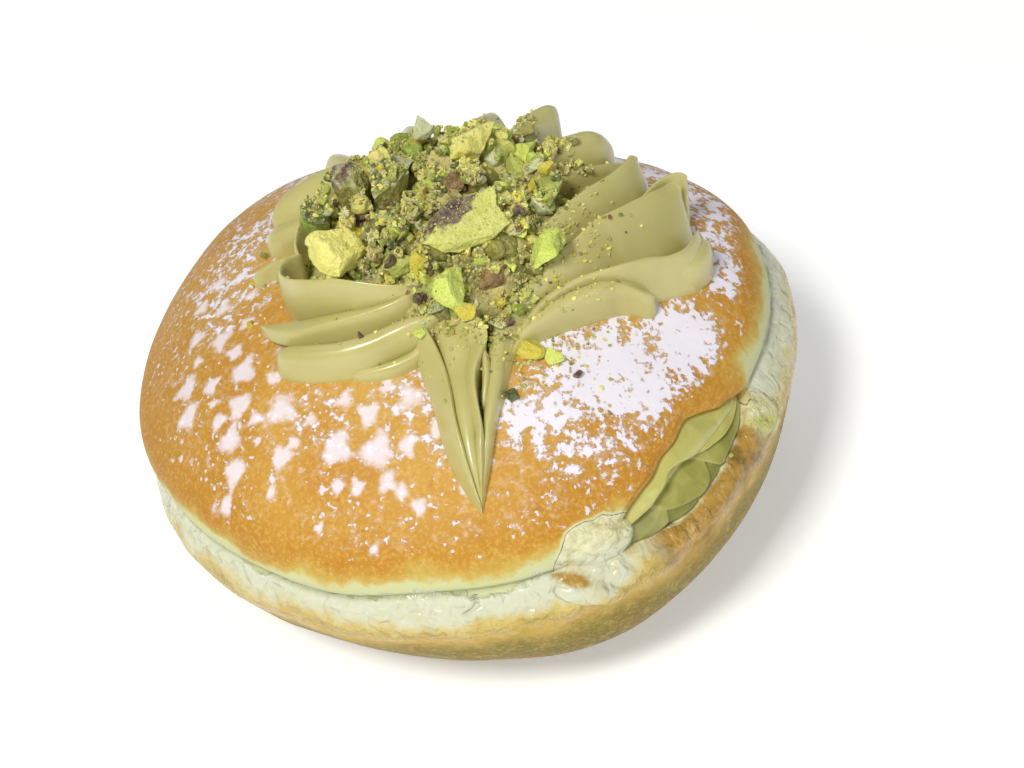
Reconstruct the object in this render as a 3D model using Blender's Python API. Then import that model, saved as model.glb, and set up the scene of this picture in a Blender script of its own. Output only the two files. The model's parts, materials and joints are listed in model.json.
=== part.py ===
"""A pistachio berliner: a filled bun, a piped cream rosette and a heap of chopped nuts on top.

Sizes are millimetres and are turned into metres as each mesh is made.  The bun's centre plane is
z = 0 while the shapes are worked out; at the end everything is lifted and centred so that the
origin is the middle of the foot.  The front of the bun faces -Y, where the cream ends in a tail,
and the filling shows in a gape at the front right.
"""
import math
import random
from typing import NamedTuple

import bmesh
import bpy
import numpy as np
from mathutils import Euler, Matrix, Vector

MM = 0.001
GAP = 0.3                                # air left between two pieces that touch
WELD = 0.001                             # points closer than this are one
CREAM_FLATTEN = math.radians(3.0)        # facets that meet flatter than this become one
HEAP_FLATTEN = math.radians(6.0)
SHARP_EDGE = math.radians(40.0)          # edges that meet steeper than this are shaded as edges

# Bun: a squashed ball, each half a superellipse turned round a wavy plan outline
BUN_RADIUS = 48.0
TOP_HEIGHT = 28.0
TOP_POWER = 2.0
FOOT_HEIGHT = 28.0
FOOT_POWER = 2.26
FLAT_FOOT = 25.6                         # depth of the flat resting face under the centre plane
PLAN_WAVES = ((2, 0.0265, -0.0136), (3, 0.0135, 0.0221), (4, 0.0020, 0.0226))
PLAN_CENTRE = (0.82, -0.55)              # middle of the outline, which becomes the origin
CREASE_LEVEL = 3.9                       # pinched line between the two fried halves
CREASE_TILT = (5.24, -1.94)
CREASE_DEPTH = 1.3
CREASE_WIDTH_ABOVE = 1.1
CREASE_WIDTH_BELOW = 2.0
UPPER_LOBE = 0.7                         # swelling of the dough on each side of the crease
LOWER_LOBE = 0.9
LOBE_OFFSET = 6.0
LOBE_WIDTH = 3.5
LUMP = 0.35
TEAR_ANGLE = math.radians(-71.0)         # a puffed lobe of bare dough beside the gape
TEAR_SPAN = math.radians(5.0)
TEAR_LEVEL = 6.5
TEAR_RISE = 1.7
BUN_SEGMENTS = 52
ROWS_ABOVE = (0.0, 0.035, 0.09, 0.19, 0.32, 0.46, 0.60, 0.74, 0.87, 0.97)
ROWS_BELOW = (0.04, 0.10, 0.22, 0.38, 0.56, 0.76, 1.0)

# Gape and the filling that runs in from it, in a frame that looks out along GAPE_ANGLE
GAPE_ANGLE = math.radians(-48.5)
GAPE_HALF_WIDTH = 17.2
GAPE_LEVEL = 5.4
GAPE_UP = 7.9
GAPE_DOWN = 1.9
NECK_DEPTH = 34.0                        # the pocket is even from here out, and flares inward
NECK_FLARE = 16.0
BELLY_WIDEN = 5.0                        # what it gains inward: half width, drop of its level,
BELLY_LOWER = 2.4                        # height above the level and depth under it
BELLY_RISE = 1.0
BELLY_SINK = 6.0
BELLY_DEPTH = -4.0                       # from here in, it closes like the end of an egg
BELLY_LENGTH = 22.0
POCKET_DEPTHS = (-24.0, -21.0, -16.0, -6.0, 6.0, 18.0, 26.0, NECK_DEPTH)
GAPE_ROUND = 0.85                        # power of the section's corners
FACE_RECESS = 1.5                        # how far the filling's rim lies behind the crust
FACE_MIDDLE = 0.4                        # height of the face's middle, as a share of GAPE_UP
FACE_RINGS = (0.82, 0.64, 0.46, 0.28, 0.12)
FOLD_PITCH = 4.6
FOLD_SLANT = math.radians(24.0)
FOLD_DEPTH = 1.1
FOLD_SWAY = 0.9
SECTION_POINTS = 26

# Rosette of cream
CORE_CENTRE = (0.5, 0.5, 24.0)
CORE_RADII = (22.5, 23.0, 7.6)
ROOT_DEPTH = 1.6                         # how far a petal reaches under the crust before trimming
PETAL_SECTIONS = 9
PETAL_SIDES = 8
TIP_SHARE = 0.78                         # share of a petal's length after which it closes

# Heap of chopped pistachios
HEAP_CENTRE = (0.5, 1.5)
HEAP_RADII = (20.5, 23.0)
HEAP_BASE = 24.0
HEAP_RIM = 29.0
HEAP_RISE = 9.4
HEAP_LUMP = 0.9
HEAP_PIECES = 50
HEAP_SEED = 7


class Petal(NamedTuple):
    """One ridge of cream: points along its crest, half its thickness, edge and lean."""

    crest: tuple
    half_width: float
    sharpness: float = 0.45              # 0 is a round ridge, 1 a knife edge
    lean: float = 0.0                    # shift of the foot towards the crest's left, in mm
    root_width: float = 0.6              # share of the thickness at the centre end


PETALS = {
    "right_low": Petal(((8.0, -18.6, 27.6), (15.5, -16.4, 28.4), (21.5, -14.2, 27.6), (27.2, -11.6, 25.2)),
                       3.6, 0.15, 0.4),
    "right_curl": Petal(((4.4, -24.0, 26.2), (13.8, -17.6, 30.6), (24.2, -11.4, 29.9), (35.6, -5.4, 25.9)),
                        2.7, 0.35, -1.2),
    "right_broad": Petal(((7.7, -18.0, 29.6), (15.5, -11.6, 32.1), (24.4, -4.0, 32.4), (34.6, 3.8, 28.9)),
                         5.0, 0.65, 2.4),
    "right_tall": Petal(((13.0, -7.0, 33.2), (18.7, -1.9, 34.0), (23.7, 2.9, 33.4), (29.6, 9.0, 30.6)),
                        4.4, 0.60, 1.4),
    "right_back": Petal(((13.0, 5.0, 32.6), (18.5, 7.8, 31.8), (23.5, 10.6, 29.8), (28.0, 12.8, 26.8)),
                        3.8, 0.50, 0.6),
    "back_right": Petal(((9.0, 6.5, 35.2), (14.2, 10.8, 34.4), (19.8, 15.8, 32.1), (25.8, 19.8, 28.8)),
                        4.2, 0.30, 0.8),
    "back_tall": Petal(((8.0, 12.0, 34.8), (12.0, 17.0, 34.8), (16.0, 20.8, 33.6), (19.8, 24.2, 31.2)),
                       4.4, 0.30, 0.4),
    "back": Petal(((2.0, 9.0, 35.0), (4.4, 14.3, 35.1), (7.5, 19.5, 33.8), (10.4, 25.0, 30.4)),
                  4.4, 0.35, 0.0),
    "back_left": Petal(((-3.0, 9.0, 33.4), (-3.0, 15.5, 33.0), (-3.0, 21.5, 31.6), (-2.6, 27.4, 28.6)),
                       4.6, 0.35, 0.0),
    "left_back": Petal(((-7.0, 7.0, 33.6), (-10.2, 13.0, 32.8), (-12.6, 19.0, 30.8), (-15.2, 24.4, 27.6)),
                       4.4, 0.35, 0.0),
    "left_flat": Petal(((-11.0, 12.0, 33.6), (-16.2, 14.6, 32.6), (-20.4, 14.8, 31.0), (-24.6, 13.4, 28.2)),
                       3.4, 0.30, 0.6),
    "left_rim": Petal(((-11.5, 9.4, 35.2), (-16.6, 7.4, 34.5), (-20.0, 4.2, 33.0), (-21.4, -0.8, 30.4)),
                      2.4, 0.45, 0.0),
    "left_low": Petal(((-17.0, 5.5, 30.2), (-20.5, 7.2, 28.9), (-23.0, 8.8, 27.6), (-25.4, 10.8, 25.8)),
                      2.8, 0.20, 0.0),
    "left_torn": Petal(((-19.0, 3.0, 28.6), (-22.0, 3.2, 27.4), (-25.0, 3.3, 25.9), (-28.2, 3.2, 24.2)),
                       1.9, 0.30, 0.0),
    "left_wall": Petal(((-6.5, -13.0, 34.4), (-12.4, -12.0, 34.6), (-18.8, -9.6, 33.5), (-23.8, -4.6, 31.8)),
                       2.9, 0.25, 0.8),
    "left_lens": Petal(((-4.0, -15.6, 32.6), (-11.8, -15.8, 30.8), (-19.7, -13.8, 28.4),
                        (-27.4, -8.2, 25.4)),
                       3.4, 0.60, 1.8),
    "left_round": Petal(((-3.4, -19.2, 29.2), (-10.6, -18.2, 29.5), (-17.3, -16.8, 28.2),
                         (-24.4, -12.8, 25.6)),
                        4.3, 0.15, 0.6),
    "left_under": Petal(((-5.0, -20.6, 26.6), (-9.6, -20.9, 26.2), (-13.8, -20.4, 25.5),
                         (-18.0, -18.8, 24.6)),
                        2.9, 0.20, 0.0),
}

# Tail: sharp flutes that run together to one point at the front
TAIL_TIP = (-0.6, -40.4, 16.4)
TAIL_FLUTES = ((-4.9, -17.6, 29.4, 3.4), (-1.4, -19.0, 30.0, 2.2), (2.0, -19.6, 30.4, 2.4),
               (5.4, -20.6, 29.2, 2.6))
TAIL_BOW = 0.8                           # how far a flute stands over the straight line, midway
TAIL_FALL = 1.1                          # power by which a flute's height over the crust runs out
TAIL_THICKNESS = 0.9                     # height of the tip over the crust
TAIL_SHARPNESS = 0.55
TAIL_TAPER = 0.75                        # share of its thickness that a flute loses on the way


class Kernel(NamedTuple):
    """One large piece of nut: its centre, half sizes, turn in degrees and draw number."""

    centre: tuple
    half_size: tuple
    turn: tuple
    seed: int


KERNELS = {
    "kernel_chunk": Kernel((-14.4, -7.4, 36.4), (4.1, 3.7, 3.8), (20, 15, 10), 3),
    "kernel_dark": Kernel((-17.2, 0.6, 34.6), (2.6, 2.6, 3.6), (10, -12, 0), 5),
    "kernel_skin": Kernel((-12.4, 3.4, 37.0), (2.7, 3.1, 3.9), (-15, 8, 20), 8),
    "kernel_dusted": Kernel((-7.0, 1.2, 39.2), (2.7, 3.4, 3.4), (12, 20, -15), 9),
    "kernel_back": Kernel((5.6, 7.2, 39.2), (4.4, 3.4, 3.1), (10, 0, 25), 12),
    "kernel_half": Kernel((4.0, -8.2, 38.6), (6.4, 3.4, 3.2), (18, -8, 14), 14),
    "kernel_cube": Kernel((-0.6, -17.4, 34.6), (3.4, 2.6, 2.8), (30, 4, -6), 17),
    "kernel_side": Kernel((13.2, -11.8, 34.2), (2.9, 2.2, 2.2), (14, -20, 32), 21),
}
KERNEL_CUTS = 7

# Bits of nut stuck to the crust: centre and half size
CRUST_BITS = (((8.9, -21.7, 26.4), (1.6, 1.4, 2.5)), ((12.2, -22.9, 24.9), (1.7, 1.3, 1.3)),
              ((5.6, -28.2, 23.6), (1.9, 1.7, 1.7)), ((-28.6, 3.8, 23.0), (1.0, 0.9, 0.9)),
              ((-29.4, -4.6, 22.6), (0.9, 1.1, 0.8)), ((-26.4, 8.8, 23.4), (1.2, 1.2, 0.8)),
              ((15.0, -25.2, 23.0), (1.1, 0.8, 0.7)), ((31.6, 6.4, 21.5), (1.2, 0.9, 0.9)))

COLOURS = {
    "bun": ((0.62, 0.30, 0.085), 0.55),
    "filling": ((0.22, 0.20, 0.055), 0.32),
    "piped_cream": ((0.36, 0.31, 0.12), 0.35),
    "pistachio_heap": ((0.33, 0.30, 0.07), 0.75),
    "kernel": ((0.45, 0.50, 0.08), 0.50),
}


def plan_factor(angle):
    """Radius of the bun's outline at an angle, as a share of BUN_RADIUS."""
    factor = np.ones_like(np.asarray(angle, dtype=float))
    for count, cosine_part, sine_part in PLAN_WAVES:
        factor = factor + cosine_part * np.cos(count * angle) + sine_part * np.sin(count * angle)
    return factor


def crease_height(angle):
    """Height of the crease at an angle; its plane is tilted."""
    return CREASE_LEVEL + CREASE_TILT[0] * np.cos(angle) + CREASE_TILT[1] * np.sin(angle)


def relief(angle, height):
    """Swelling of the crust over the plain form: crease, lobes, lumps and the puffed lobe."""
    above = height - crease_height(angle)
    width = np.where(above > 0, CREASE_WIDTH_ABOVE, CREASE_WIDTH_BELOW)
    groove = -CREASE_DEPTH * np.exp(-np.abs(above) / width)
    lobes = UPPER_LOBE * np.exp(-((above - LOBE_OFFSET) / LOBE_WIDTH) ** 2)
    lobes = lobes + LOWER_LOBE * np.exp(-((above + LOBE_OFFSET) / LOBE_WIDTH) ** 2)
    lumps = np.sin(3 * angle + 0.7) * np.sin(0.13 * height + 0.4)
    lumps = LUMP * (lumps + np.sin(5 * angle - 1.1) * np.cos(0.17 * height))
    puff = np.exp(-((angle - TEAR_ANGLE) / TEAR_SPAN) ** 2)
    puff = TEAR_RISE * puff * np.exp(-((height - TEAR_LEVEL) / 4.0) ** 2)
    foot_fade = np.clip((height + FLAT_FOOT) / 5.0, 0, 1) ** 2
    return foot_fade * (groove + lobes + lumps + puff)


def bun_points(angle, latitude, lift=0.0):
    """Points of the crust at angles and latitudes (radians), lifted off it by lift."""
    sine = np.sin(latitude)
    power = np.where(sine >= 0, TOP_POWER, FOOT_POWER)
    half_height = np.where(sine >= 0, TOP_HEIGHT, FOOT_HEIGHT)
    radius = BUN_RADIUS * plan_factor(angle) * np.abs(np.cos(latitude)) ** (2 / power)
    height = half_height * np.sign(sine) * np.abs(sine) ** (2 / power)
    outward = radius / BUN_RADIUS ** 2
    upward = height / half_height ** 2
    length = np.hypot(outward, upward)
    swell = relief(angle, height) + lift
    radius = radius + swell * outward / length
    height = height + swell * upward / length
    return np.stack([radius * np.cos(angle), radius * np.sin(angle), height], axis=-1)


def latitude_of(height):
    """Latitude at which the plain form has this height."""
    power = TOP_POWER if height >= 0 else FOOT_POWER
    half_height = TOP_HEIGHT if height >= 0 else FOOT_HEIGHT
    return math.copysign(math.asin((abs(height) / half_height) ** (power / 2)), height)


def crust_top(x, y):
    """Height of the plain top half over a point of the plan."""
    share = np.hypot(x, y) / (BUN_RADIUS * plan_factor(np.arctan2(y, x)))
    return TOP_HEIGHT * np.clip(1 - share ** TOP_POWER, 0, 1) ** (1 / TOP_POWER)


def bun_rings(lift=0.0):
    """Rings of the crust from the flat foot up, with rows gathered at the crease."""
    angles = np.linspace(0, 2 * math.pi, BUN_SEGMENTS, endpoint=False) - math.pi
    crease = np.array([latitude_of(height) for height in crease_height(angles)])
    foot = latitude_of(-FLAT_FOOT)
    latitudes = [crease + (foot - crease) * share for share in reversed(ROWS_BELOW)]
    latitudes += [crease + (math.pi / 2 - crease) * share for share in ROWS_ABOVE]
    return [bun_points(angles, latitude, lift) for latitude in latitudes]


def gape_axes():
    """The way out of the gape, and the way to its left along the crust."""
    outward = np.array([math.cos(GAPE_ANGLE), math.sin(GAPE_ANGLE), 0.0])
    sideways = np.array([-math.sin(GAPE_ANGLE), math.cos(GAPE_ANGLE), 0.0])
    return outward, sideways


def crust_reach(side, height):
    """Distance from the bun's axis to the crust, along the gape's way out."""
    power = np.where(height >= 0, TOP_POWER, FOOT_POWER)
    half_height = np.where(height >= 0, TOP_HEIGHT, FOOT_HEIGHT)
    share = np.clip(1 - (np.abs(height) / half_height) ** power, 0, 1) ** (1 / power)
    reach = np.full_like(side, BUN_RADIUS * 0.9)
    for _ in range(6):
        radius = BUN_RADIUS * plan_factor(GAPE_ANGLE + np.arctan2(side, reach)) * share
        reach = np.sqrt(np.clip(radius ** 2 - side ** 2, 1, None))
    return reach


def pocket_section(depth, inset):
    """Half width, level, rise and drop of the pocket at a distance from the bun's axis."""
    inner = min(max((NECK_DEPTH - depth) / NECK_FLARE, 0.0), 1.0)
    end = max((BELLY_DEPTH - depth) / BELLY_LENGTH, 0.0)
    close = math.sqrt(max(1 - end ** 2, 0.0))
    half_width = (GAPE_HALF_WIDTH + BELLY_WIDEN * inner) * close
    level = GAPE_LEVEL - BELLY_LOWER * inner
    rise = (GAPE_UP + BELLY_RISE * inner) * close
    drop = (GAPE_DOWN + BELLY_SINK * inner) * close
    return half_width - inset, level, rise - inset, drop - inset


def section_points(depth, inset, points=SECTION_POINTS):
    """One section of the pocket: side and height offsets round a rounded lens."""
    half_width, level, rise, drop = pocket_section(depth, inset)
    turn = np.linspace(0, 2 * math.pi, points, endpoint=False)
    sine = np.sin(turn)
    swing = np.sign(sine) * np.abs(sine) ** GAPE_ROUND
    side = half_width * np.cos(turn)
    height = level + np.where(sine >= 0, rise, drop) * swing
    return side, height


def gape_ring(reach, side, height):
    """World points from distances out of the gape, sideways and up."""
    outward, sideways = gape_axes()
    plan = np.multiply.outer(reach, outward) + np.multiply.outer(side, sideways)
    return plan + np.multiply.outer(height, np.array([0.0, 0.0, 1.0]))


def fold_rise(side, height):
    """Ripples of the filling's face: slanted ribbons, each lapping over the next."""
    along = side * math.cos(FOLD_SLANT) - height * math.sin(FOLD_SLANT)
    across = height * math.cos(FOLD_SLANT) + side * math.sin(FOLD_SLANT)
    phase = (across + FOLD_SWAY * np.sin(0.33 * along)) / FOLD_PITCH
    return FOLD_DEPTH * (np.abs(np.cos(math.pi * phase)) ** 0.7 - 0.5)


def filling_rings():
    """Rings of the filling from its blind end to the rippled face at the gape."""
    rings = []
    for depth in POCKET_DEPTHS:
        side, height = section_points(depth, GAP)
        place = max(depth, POCKET_DEPTHS[0] + GAP)
        rings.append(gape_ring(np.full_like(side, place), side, height))
    rim_side, rim_height = section_points(NECK_DEPTH, GAP)
    rings.append(gape_ring(crust_reach(rim_side, rim_height) - FACE_RECESS, rim_side, rim_height))
    middle = GAPE_LEVEL + FACE_MIDDLE * GAPE_UP
    for share in FACE_RINGS:
        side = rim_side * share
        height = middle + (rim_height - middle) * share
        bulge = FACE_RECESS * share ** 2 - fold_rise(side, height) * (1 - share ** 4)
        rings.append(gape_ring(crust_reach(side, height) - bulge, side, height))
    return rings


def pocket_rings():
    """Rings of the cutter for the pocket, which reaches out past the crust."""
    rings = []
    for depth in POCKET_DEPTHS + (BUN_RADIUS * 1.2,):
        side, height = section_points(depth, 0.0)
        rings.append(gape_ring(np.full_like(side, depth), side, height))
    return rings


def curve_through(points, share):
    """The cubic that passes through four points at even shares of its length."""
    knots = np.linspace(0, 1, len(points))
    value = np.zeros((len(share), 3))
    for index, point in enumerate(points):
        weight = np.ones_like(share)
        for other, knot in enumerate(knots):
            if other != index:
                weight = weight * (share - knot) / (knots[index] - knot)
        value = value + np.multiply.outer(weight, np.array(point, dtype=float))
    return value


def petal_rings(petal, grow=0.0):
    """Rings of one ridge: a leaf-shaped section carried along its crest, grown on request."""
    slack = 0.03 if grow else 0.0
    share = np.linspace(-slack, 1 + slack, PETAL_SECTIONS)
    crest = curve_through(petal.crest, share)
    along = np.gradient(crest, axis=0)
    along[:, 2] = 0
    along /= np.linalg.norm(along, axis=1)[:, None]
    left = np.stack([-along[:, 1], along[:, 0], np.zeros(len(share))], axis=1)
    swell = petal.root_width + (1 - petal.root_width) * np.clip(share / TIP_SHARE, 0, 1)
    tip = np.clip((share - TIP_SHARE) / (1 + slack - TIP_SHARE), 0, 1)
    width = petal.half_width * swell * np.sqrt(1 - 0.985 * tip ** 2) + grow
    foot = crest - petal.lean * left
    foot[:, 2] = crust_top(foot[:, 0], foot[:, 1]) - ROOT_DEPTH
    rings = []
    for centre, low, sideways, half in zip(crest, foot, left, width):
        turn = np.linspace(0, 2 * math.pi, PETAL_SIDES, endpoint=False)
        rise = (1 + np.cos(turn)) / 2
        offset = half * np.sin(turn) * (1 - petal.sharpness * rise)
        line = low + np.multiply.outer(rise, centre + np.array([0, 0, grow]) - low)
        rings.append(line + np.multiply.outer(offset, sideways))
    return rings


def tail_petals():
    """The flutes of the tail: each bows from the rosette down to the shared tip."""
    flutes = []
    tip = np.array(TAIL_TIP)
    for x, y, z, half_width in TAIL_FLUTES:
        start = np.array([x, y, z])
        points = []
        for share in (0.0, 1 / 3, 2 / 3, 1.0):
            point = start + (tip - start) * share
            above = (z - crust_top(x, y)) * (1 - share) ** TAIL_FALL + TAIL_THICKNESS * share
            point[2] = crust_top(point[0], point[1]) + above + TAIL_BOW * math.sin(math.pi * share)
            points.append(tuple(point))
        flutes.append(Petal(tuple(points), half_width, TAIL_SHARPNESS, 0.0, 1.0))
    return flutes


def tapered(rings):
    """Narrow a flute's rings evenly towards the tail's tip."""
    count = len(rings)
    narrowed = []
    for index, ring in enumerate(rings):
        keep = 1 - TAIL_TAPER * index / (count - 1)
        crest = ring[0]
        shift = (ring - crest)[:, :2] * (keep - 1)
        moved = ring.copy()
        moved[:, :2] += shift
        narrowed.append(moved)
    return narrowed


def ellipsoid_rings(centre, radii, rows=7, segments=24, low=-0.9):
    """Rings of an ellipsoid from a flat cut near its bottom up to its top."""
    turn = np.linspace(0, 2 * math.pi, segments, endpoint=False)
    rings = []
    for latitude in np.linspace(math.asin(low), math.radians(86), rows):
        ring = np.stack([radii[0] * math.cos(latitude) * np.cos(turn),
                         radii[1] * math.cos(latitude) * np.sin(turn),
                         np.full(segments, radii[2] * math.sin(latitude))], axis=1)
        rings.append(ring + np.array(centre))
    return rings


def heap_height(x, y):
    """Height of the heap's plain dome over a point of the plan."""
    share = ((x - HEAP_CENTRE[0]) / HEAP_RADII[0]) ** 2 + ((y - HEAP_CENTRE[1]) / HEAP_RADII[1]) ** 2
    unevenness = HEAP_LUMP * np.sin(0.42 * x + 1.0) * np.sin(0.37 * y + 0.6)
    return HEAP_RIM + (HEAP_RISE + unevenness) * np.clip(1 - share, 0, 1) ** 0.6


def heap_rings(segments=22):
    """Rings of the heap: a straight skirt, then the dome, closed by a small flat top."""
    turn = np.linspace(0, 2 * math.pi, segments, endpoint=False)
    rings = []
    for share, height in ((0.97, HEAP_BASE), (0.99, HEAP_RIM), (0.93, None), (0.8, None),
                          (0.6, None), (0.36, None), (0.1, None)):
        x = HEAP_CENTRE[0] + HEAP_RADII[0] * share * np.cos(turn)
        y = HEAP_CENTRE[1] + HEAP_RADII[1] * share * np.sin(turn)
        z = heap_height(x, y) if height is None else np.full(segments, height)
        rings.append(np.stack([x, y, z], axis=1))
    return rings


def new_collection(name):
    """Add a collection to the scene."""
    collection = bpy.data.collections.new(name)
    bpy.context.scene.collection.children.link(collection)
    return collection


def add_object(name, mesh_data, collection):
    """Wrap a bmesh as an object whose sizes are turned from millimetres to metres."""
    bmesh.ops.recalc_face_normals(mesh_data, faces=mesh_data.faces)
    bmesh.ops.scale(mesh_data, vec=(MM, MM, MM), verts=mesh_data.verts)
    mesh = bpy.data.meshes.new(name)
    mesh_data.to_mesh(mesh)
    mesh_data.free()
    piece = bpy.data.objects.new(name, mesh)
    collection.objects.link(piece)
    return piece


def add_rings(name, rings, collection):
    """Skin a stack of rings into one closed solid with flat end caps.

    Every cell is split along the same diagonal, so that a solid and the room cut for it agree.
    """
    skin = bmesh.new()
    loops = [[skin.verts.new(point) for point in ring] for ring in rings]
    count = len(loops[0])
    for low, high in zip(loops, loops[1:]):
        for start in range(count):
            end = (start + 1) % count
            skin.faces.new((low[start], low[end], high[end]))
            skin.faces.new((low[start], high[end], high[start]))
    skin.faces.new(loops[0])
    skin.faces.new(loops[-1])
    return add_object(name, skin, collection)


def add_nut(name, centre, half_size, turn, seed, collection, fine=False, grow=0.0):
    """Add a chopped piece of nut: a jittered ball flattened against a few random planes."""
    draw = random.Random(seed)
    ball = bmesh.new()
    bmesh.ops.create_icosphere(ball, subdivisions=2 if fine else 1, radius=1.0)
    for _ in range(KERNEL_CUTS if fine else 3):
        normal = Vector((draw.gauss(0, 1), draw.gauss(0, 1), draw.gauss(0, 1))).normalized()
        depth = draw.uniform(0.72, 0.9)
        for vertex in ball.verts:
            over = vertex.co.dot(normal) - depth
            if over > 0:
                vertex.co -= normal * over
    for vertex in ball.verts:
        vertex.co *= draw.uniform(0.94, 1.06)
    size = Vector(half_size) + Vector((grow, grow, grow))
    place = Matrix.Translation(Vector(centre)) @ Euler([math.radians(a) for a in turn]).to_matrix().to_4x4()
    bmesh.ops.transform(ball, matrix=place @ Matrix.Diagonal((*size, 1.0)), verts=ball.verts)
    return add_object(name, ball, collection)


def apply_boolean(piece, collection, operation, solver="MANIFOLD"):
    """Join or cut a piece with all objects of a collection, and keep the result as its mesh.

    The ridges of cream cross each other so often that the exact solver loses the body, so the
    manifold one is the rule here, and the exact one is asked for where it works.
    """
    modifier = piece.modifiers.new(operation.lower(), "BOOLEAN")
    modifier.operation = operation
    modifier.operand_type = "COLLECTION"
    modifier.collection = collection
    modifier.solver = solver
    graph = bpy.context.evaluated_depsgraph_get()
    mesh = bpy.data.meshes.new_from_object(piece.evaluated_get(graph))
    piece.modifiers.clear()
    piece.data = mesh


def empty_collection(collection):
    """Remove a collection and the objects in it."""
    for piece in list(collection.objects):
        bpy.data.objects.remove(piece)
    bpy.data.collections.remove(collection)


def keep_largest(piece, flatten=0.0):
    """Drop loose scraps and merge coincident points, so that one closed body is left.

    Facets that meet at less than the angle flatten become one, which takes up the splinters.
    """
    body = bmesh.new()
    body.from_mesh(piece.data)
    bmesh.ops.remove_doubles(body, verts=body.verts, dist=WELD * MM)
    bmesh.ops.dissolve_degenerate(body, dist=WELD * MM / 2, edges=body.edges)
    unseen = set(body.verts)
    islands = []
    while unseen:
        front = [unseen.pop()]
        island = list(front)
        while front:
            vertex = front.pop()
            for edge in vertex.link_edges:
                other = edge.other_vert(vertex)
                if other in unseen:
                    unseen.remove(other)
                    front.append(other)
                    island.append(other)
        islands.append(island)
    islands.sort(key=len)
    for island in islands[:-1]:
        bmesh.ops.delete(body, geom=island, context="VERTS")
    if flatten:
        bmesh.ops.dissolve_limit(body, angle_limit=flatten, verts=body.verts, edges=body.edges)
    bmesh.ops.triangulate(body, faces=body.faces)
    body.to_mesh(piece.data)
    body.free()


def build_cream(name, collection, cutters, grow=0.0):
    """Add the rosette: a low core, its petals and the tail, all joined into one body."""
    parts = new_collection(name + "_parts")
    radii = [radius + grow for radius in CORE_RADII]
    core = add_rings(name, ellipsoid_rings(CORE_CENTRE, radii), collection)
    for label, petal in PETALS.items():
        add_rings(label, petal_rings(petal, grow), parts)
    for index, flute in enumerate(tail_petals()):
        add_rings("flute_%d" % index, tapered(petal_rings(flute, grow)), parts)
    apply_boolean(core, parts, "UNION")
    empty_collection(parts)
    if cutters:
        apply_boolean(core, cutters, "DIFFERENCE")
    keep_largest(core, CREAM_FLATTEN)
    return core


def build_heap(collection):
    """Add the heap: a dome with chopped pieces half sunk in it, evenly spread by a spiral."""
    heap = add_rings("pistachio_heap", heap_rings(), collection)
    parts = new_collection("heap_parts")
    draw = random.Random(HEAP_SEED)
    golden = math.pi * (3 - math.sqrt(5))
    for index in range(HEAP_PIECES):
        share = math.sqrt((index + 0.5) / HEAP_PIECES) * 0.95
        x = HEAP_CENTRE[0] + HEAP_RADII[0] * share * math.cos(index * golden)
        y = HEAP_CENTRE[1] + HEAP_RADII[1] * share * math.sin(index * golden)
        z = float(heap_height(x, y)) + draw.uniform(-0.5, 0.3)
        size = draw.uniform(1.6, 2.9)
        half = (size * draw.uniform(0.9, 1.3), size * draw.uniform(0.7, 1.0), size * 0.75)
        turn = [draw.uniform(0, 360) for _ in range(3)]
        add_nut("crumb_%02d" % index, (x, y, z), half, turn, index, parts)
    apply_boolean(heap, parts, "UNION")
    empty_collection(parts)
    return heap


def add_material(piece, key):
    """Give a piece its own plain material."""
    colour, roughness = COLOURS[key]
    material = bpy.data.materials.new(piece.name)
    material.use_nodes = True
    shader = material.node_tree.nodes["Principled BSDF"]
    shader.inputs["Base Color"].default_value = (*colour, 1.0)
    shader.inputs["Roughness"].default_value = roughness
    shader.inputs["Metallic"].default_value = 0.0
    piece.data.materials.clear()
    piece.data.materials.append(material)


def main():
    """Build every piece, trim each one clear of its neighbours and set the origin."""
    for piece in list(bpy.data.objects):
        bpy.data.objects.remove(piece)
    doughnut = new_collection("berliner_doughnut")
    room = new_collection("cutters")

    # The crust with a skin of air round it, which trims what lies on it
    air_skin = new_collection("air_skin")
    add_rings("bun_room", bun_rings(GAP), air_skin)
    cream = build_cream("piped_cream", doughnut, air_skin)
    build_cream("cream_room", room, None, GAP)

    bun = add_rings("bun", bun_rings(), doughnut)
    bits = new_collection("bits")
    for index, (centre, half_size) in enumerate(CRUST_BITS):
        bit = add_nut("bit_%d" % index, centre, half_size, (17 * index, 31 * index, 0), index, bits)
        apply_boolean(bit, room, "DIFFERENCE")
    apply_boolean(bun, bits, "UNION", "EXACT")
    empty_collection(bits)
    gape = new_collection("gape")
    add_rings("pocket_room", pocket_rings(), gape)
    apply_boolean(bun, gape, "DIFFERENCE", "EXACT")
    empty_collection(gape)
    keep_largest(bun)
    filling = add_rings("filling", filling_rings(), doughnut)

    kernels = []
    kernel_room = new_collection("kernel_room")
    for name, kernel in KERNELS.items():
        piece = add_nut(name, *kernel, doughnut, fine=True)
        apply_boolean(piece, room, "DIFFERENCE")
        keep_largest(piece)
        kernels.append(piece)
        add_nut(name + "_room", *kernel, kernel_room, fine=True, grow=GAP)

    heap = build_heap(doughnut)
    for cutter in (room, air_skin, kernel_room):
        apply_boolean(heap, cutter, "DIFFERENCE")
    keep_largest(heap, HEAP_FLATTEN)
    for collection in (room, air_skin, kernel_room):
        empty_collection(collection)

    for piece in (bun, filling, cream, heap):
        add_material(piece, piece.name)
    for piece in kernels:
        add_material(piece, "kernel")
    for piece in doughnut.objects:
        piece.location = Vector((-PLAN_CENTRE[0], -PLAN_CENTRE[1], FLAT_FOOT)) * MM
        piece.data.shade_smooth()
        piece.data.set_sharp_from_angle(angle=SHARP_EDGE)


main()
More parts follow.
